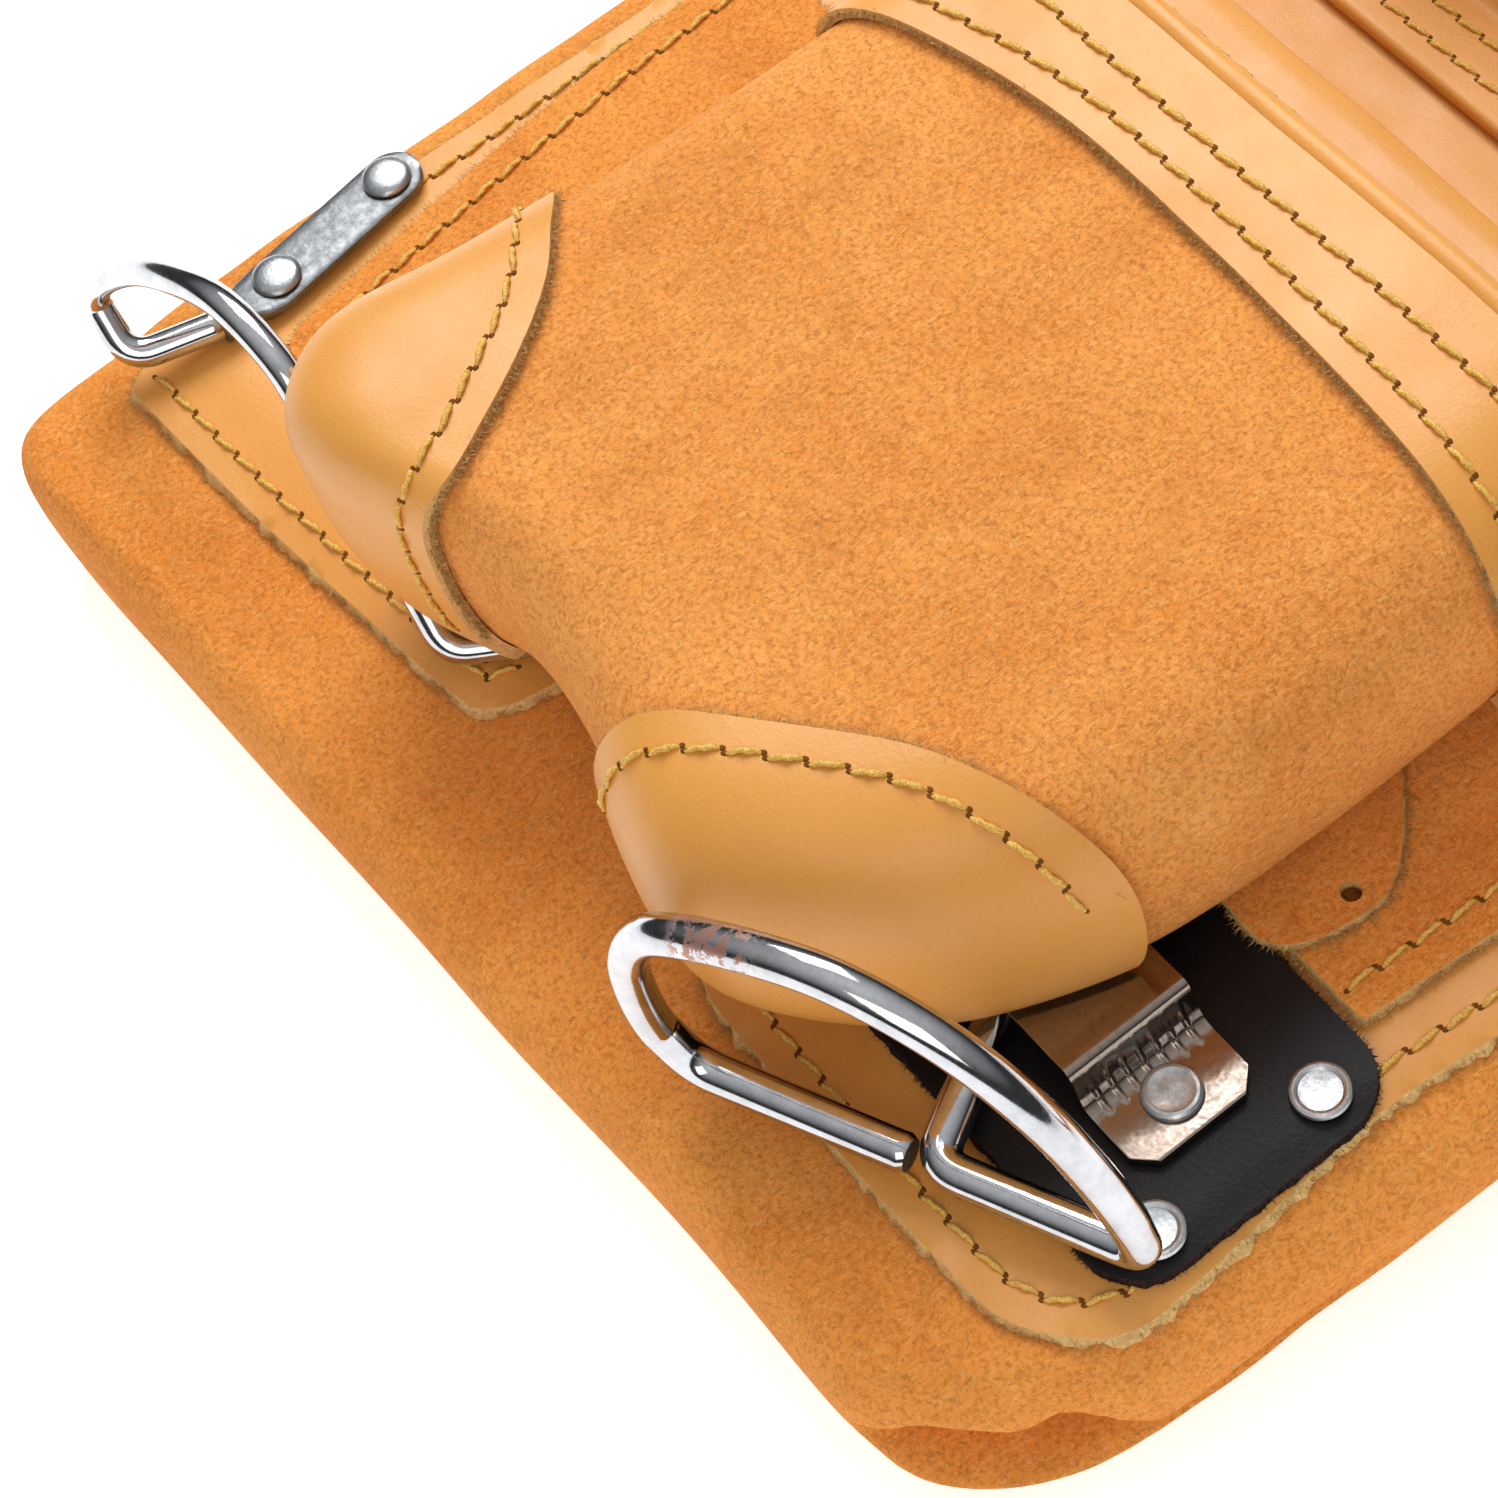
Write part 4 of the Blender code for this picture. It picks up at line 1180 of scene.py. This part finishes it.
# ======================= upper bag and belt =======================
def extruded(name, profile, x0, x1, mats, move=None, step=3.0):
    """Closed (y, z) profile carried along X, rounded and then moved by a rule."""
    rim = resample(profile + [profile[0]], 1.0)[:-1]
    soft = [(a + b * 2 + c) / 4 for a, b, c in zip(rim[-1:] + rim[:-1], rim, rim[1:] + rim[:1])]
    count = len(soft)
    stations = max(2, round((x1 - x0) / step))
    verts = []
    for i in range(stations + 1):
        x = x0 + (x1 - x0) * i / stations
        for p in soft:
            q = Vector((x, p.x, p.y))
            verts.append(move(q) if move else q)
    obj = new_object(name, verts, loft(stations + 1, count), mats, 50)
    for end in (-1, -2):
        obj.data.polygons[end].material_index = 1
    return obj


def build_upper():
    outline = rounded_box(-106, 90, -22, 215, 18)

    def panel_top(x, y):
        crease = abs(wobble(x * 0.6 + y * 0.4, y, 0, 16, 12))
        return 2.9 - 0.5 * max(0.0, 0.12 - crease) / 0.12 * smoothstep(134, 140, y) * smoothstep(160, 156, y)

    place(sheet("back_panel_leather", outline, panel_top, 2.9, [LEATHER, EDGE], 2.6), "bag", "smooth_leather",
          "back_panel")

    def sag(p):
        wave = 0.5 * wobble(p.x, 0, 0, 30, 13)
        return Vector((p.x, p.y + wave, p.z + 0.3 * wave))

    lip = [(107, 28.6), (107, 30.2), (120, 30.3), (133, 30.8), (137.2, 29.6), (138.2, 26.2), (136.8, 23.4),
           (133.4, 23.4), (133.4, 28.6)]
    place(extruded("main_band_leather", lip, -110, 106, [LEATHER, EDGE], sag), "bag", "smooth_leather",
          "main_pocket_band")
    lay = on_top(lambda x, y: 30.55)
    for name, y in (("main_band_high", 128.5), ("main_band_low", 111.5)):
        stitches(name, [(x, y, 0) for x in range(-106, 104)], lay)
    floor, roof, top, fold = 3.3, 9.0, 12.0, 233.3
    mid = 6.0
    outer = [(fold + mid * sin(radians(a)), mid - mid * cos(radians(a))) for a in range(0, 181, 12)]
    inner = [(fold + (mid - 3) * sin(radians(a)), mid - (mid - 3) * cos(radians(a))) for a in range(180, -1, -12)]
    profile = outer + [(182, top), (176, floor + 3), (160, floor + 3), (160, floor), (177, floor), (183, roof)]
    place(extruded("tunnel_leather", profile + inner, -100, 96, [LEATHER, EDGE]), "bag", "smooth_leather",
          "belt_tunnel")
    lay = on_top(lambda x, y: 6.25)
    for name, y in (("tunnel_seam", 165.0), ("tunnel_seam_2", 171.0)):
        stitches(name, [(x, y, 0) for x in range(-97, 94)], lay)


def build_belt():
    y0, y1, t = BELT_Y - BELT_W / 2, BELT_Y + BELT_W / 2, BELT_T
    low, high = 4.2 + t / 2, 51.7 + t / 2
    mid, r = (low + high) / 2, (high - low) / 2
    fold_r = 2.3 + 0.3 + t / 2
    bar = high - fold_r
    path = [(78, high - t - 0.4), (46, high - t - 0.4), (34, bar - fold_r), (26, bar - fold_r)]
    path += [(20 - fold_r * sin(radians(a)), bar - fold_r * cos(radians(a))) for a in range(0, 181, 10)]
    path += [(235 + r * sin(radians(a)), mid + r * cos(radians(a))) for a in range(0, 181, 6)]
    path += [(-235 - r * sin(radians(a)), mid - r * cos(radians(a))) for a in range(0, 181, 6)]
    path += [(-45, high)]
    line = resample([(x, 0, z) for x, z in path], 3.0)
    half_y, h = (y1 - y0) / 2, t / 2
    section = [(-half_y, -h + 0.9), (-half_y + 0.9, -h), (half_y - 0.9, -h), (half_y, -h + 0.9),
               (half_y, h - 0.9), (half_y - 0.9, h)]
    section += [(half_y - v, h - (0.35 if abs(v - 4) < 0.1 else 0)) for v in (3.2, 4.0, 4.8)]
    section += [(v - half_y, h - (0.35 if abs(v - 4) < 0.1 else 0)) for v in (4.8, 4.0, 3.2)]
    section += [(-half_y + 0.9, h), (-half_y, h - 0.9)]
    verts = []
    for i, p in enumerate(line):
        way = direction(line, i)
        out = Vector((-way.z, 0, way.x))
        for u, v in section:
            verts.append(p + Vector((0, BELT_Y + u, 0)) + out * v)
    belt = new_object("belt_leather_strap", verts, loft(len(line), len(section)), BELT_LEATHER, 0)
    cut(belt, prism([(8, 201), (34, 201), (34, 210), (8, 210)], bar - 12, 90, EDGE))
    for i in range(5):
        cut(belt, prism(circle(-85 - 25 * i, BELT_Y, 2.6), 40, 80, EDGE))
    for y, up in ((y0, 1), (y1, -1)):
        corner = [(-44, y - up), (-44, y + up * 14), (-49, y + up * 7), (-60, y), (-60, y - up)]
        cut(belt, prism(corner, 40, 80, EDGE))
    tidy_normals(belt, 32)
    place(belt, "belt", "belt_leather", "belt_strap")
    keeper = duplicate(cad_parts["belt_keeper"], "keeper_leather", BELT_LEATHER)
    with edited(keeper) as bm:
        bmesh.ops.remove_doubles(bm, verts=bm.verts, dist=1e-6)
        bmesh.ops.dissolve_limit(bm, angle_limit=radians(2), verts=bm.verts, edges=bm.edges)
    bevelled(keeper, 0.8, 3, 30)
    tidy_normals(keeper, 60)
    place(keeper, "keeper", "belt_leather", "belt_keeper")


# ======================= camera, light, floor =======================
def build_camera():
    data = bpy.data.cameras.new("camera")
    data.lens = CAMERA_LENS
    data.sensor_width = 36.0
    data.clip_end = 20.0
    cam = bpy.data.objects.new("camera", data)
    bpy.context.collection.objects.link(cam)
    back = VIEW_BACK.normalized()
    right = (VIEW_RIGHT - back * VIEW_RIGHT.dot(back)).normalized()
    up = back.cross(right)
    cam.matrix_world = Matrix.Translation((AIM + back * CAMERA_DISTANCE) * MM) @ Matrix(
        (right, up, back)).transposed().to_4x4()
    bpy.context.scene.camera = cam


def area_light(name, place, target, size, power, colour=(1, 1, 1)):
    data = bpy.data.lights.new(name, "AREA")
    data.shape = "RECTANGLE"
    data.size, data.size_y = size
    data.energy = power
    data.color = colour
    obj = bpy.data.objects.new(name, data)
    bpy.context.collection.objects.link(obj)
    obj.location = place
    obj.rotation_mode = "QUATERNION"
    obj.rotation_quaternion = (Vector(target) - Vector(place)).to_track_quat("-Z", "Y")


def build_studio():
    world = bpy.data.worlds.new("studio")
    bpy.context.scene.world = world
    world.use_nodes = True
    tree = world.node_tree
    split = tree.nodes.new("ShaderNodeSeparateXYZ")
    ramp = tree.nodes.new("ShaderNodeValToRGB")
    tree.links.new(tree.nodes.new("ShaderNodeTexCoord").outputs["Generated"], split.inputs[0])
    tree.links.new(split.outputs["Z"], ramp.inputs["Fac"])
    for element, (height, grey) in zip((*ramp.color_ramp.elements, ramp.color_ramp.elements.new(0.5)),
                                       ((0.22, 0.06), (0.50, 1.0), (0.95, 0.85))):
        element.position = height
        element.color = (grey, grey, grey, 1)
    tree.links.new(ramp.outputs["Color"], tree.nodes["Background"].inputs["Color"])
    tree.nodes["Background"].inputs["Strength"].default_value = WORLD_LIGHT
    area_light("key", (-0.75, 0.55, 1.15), (0, 0, 0.03), (0.85, 0.85), KEY_POWER)
    area_light("fill", (0.9, -0.7, 0.9), (0, 0, 0.03), (0.9, 0.9), FILL_POWER, (1.0, 0.93, 0.86))
    n = Nodes("floor")
    n.set(Base_Color=n.ramp(n.noise(0.01), [(0.3, (0.93, 0.93, 0.93)), (0.7, (0.95, 0.95, 0.95))]), Roughness=0.8,
          Emission_Color=(1.0, 1.0, 1.0), Emission_Strength=FLOOR_GLOW)
    half = 3000.0
    floor = new_object("floor", [(-half, -half, -0.3), (half, -half, -0.3), (half, half, -0.3), (-half, half, -0.3)],
                       [(0, 1, 2, 3)], n.mat, 0)
    bpy.context.scene.view_settings.view_transform = "Standard"
    bpy.context.scene.view_settings.look = "None"


build_camera()
build_studio()
base_outer, base_tree = pocket("main_pocket", BASE_OUTLINE, (-6.0, -12.0, 133.0), ring_levels(16, 50),
                               base_shape, base_relief, SHADED_BASE_SUEDE)
front_outer, front_tree = pocket("front_pocket", FRONT_OUTLINE, (8.0, 20.0, 103.0), ring_levels(18, 40),
                                 front_shape, front_relief, SUEDE)
build_trim(front_outer)
for guide in (base_outer, front_outer):
    bpy.data.objects.remove(guide, do_unlink=True)
build_seams()
build_strips()
build_flanges()
build_mount()
build_swing_ring()
build_fixed_loop()
build_upper()
build_belt()
for metal, finish in (("buckle_frame", NICKEL), ("buckle_prong", NICKEL), ("buckle_roller", NICKEL),
                      ("swing_pivot_rivet", ZINC)):
    refinish(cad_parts[metal].data, finish)
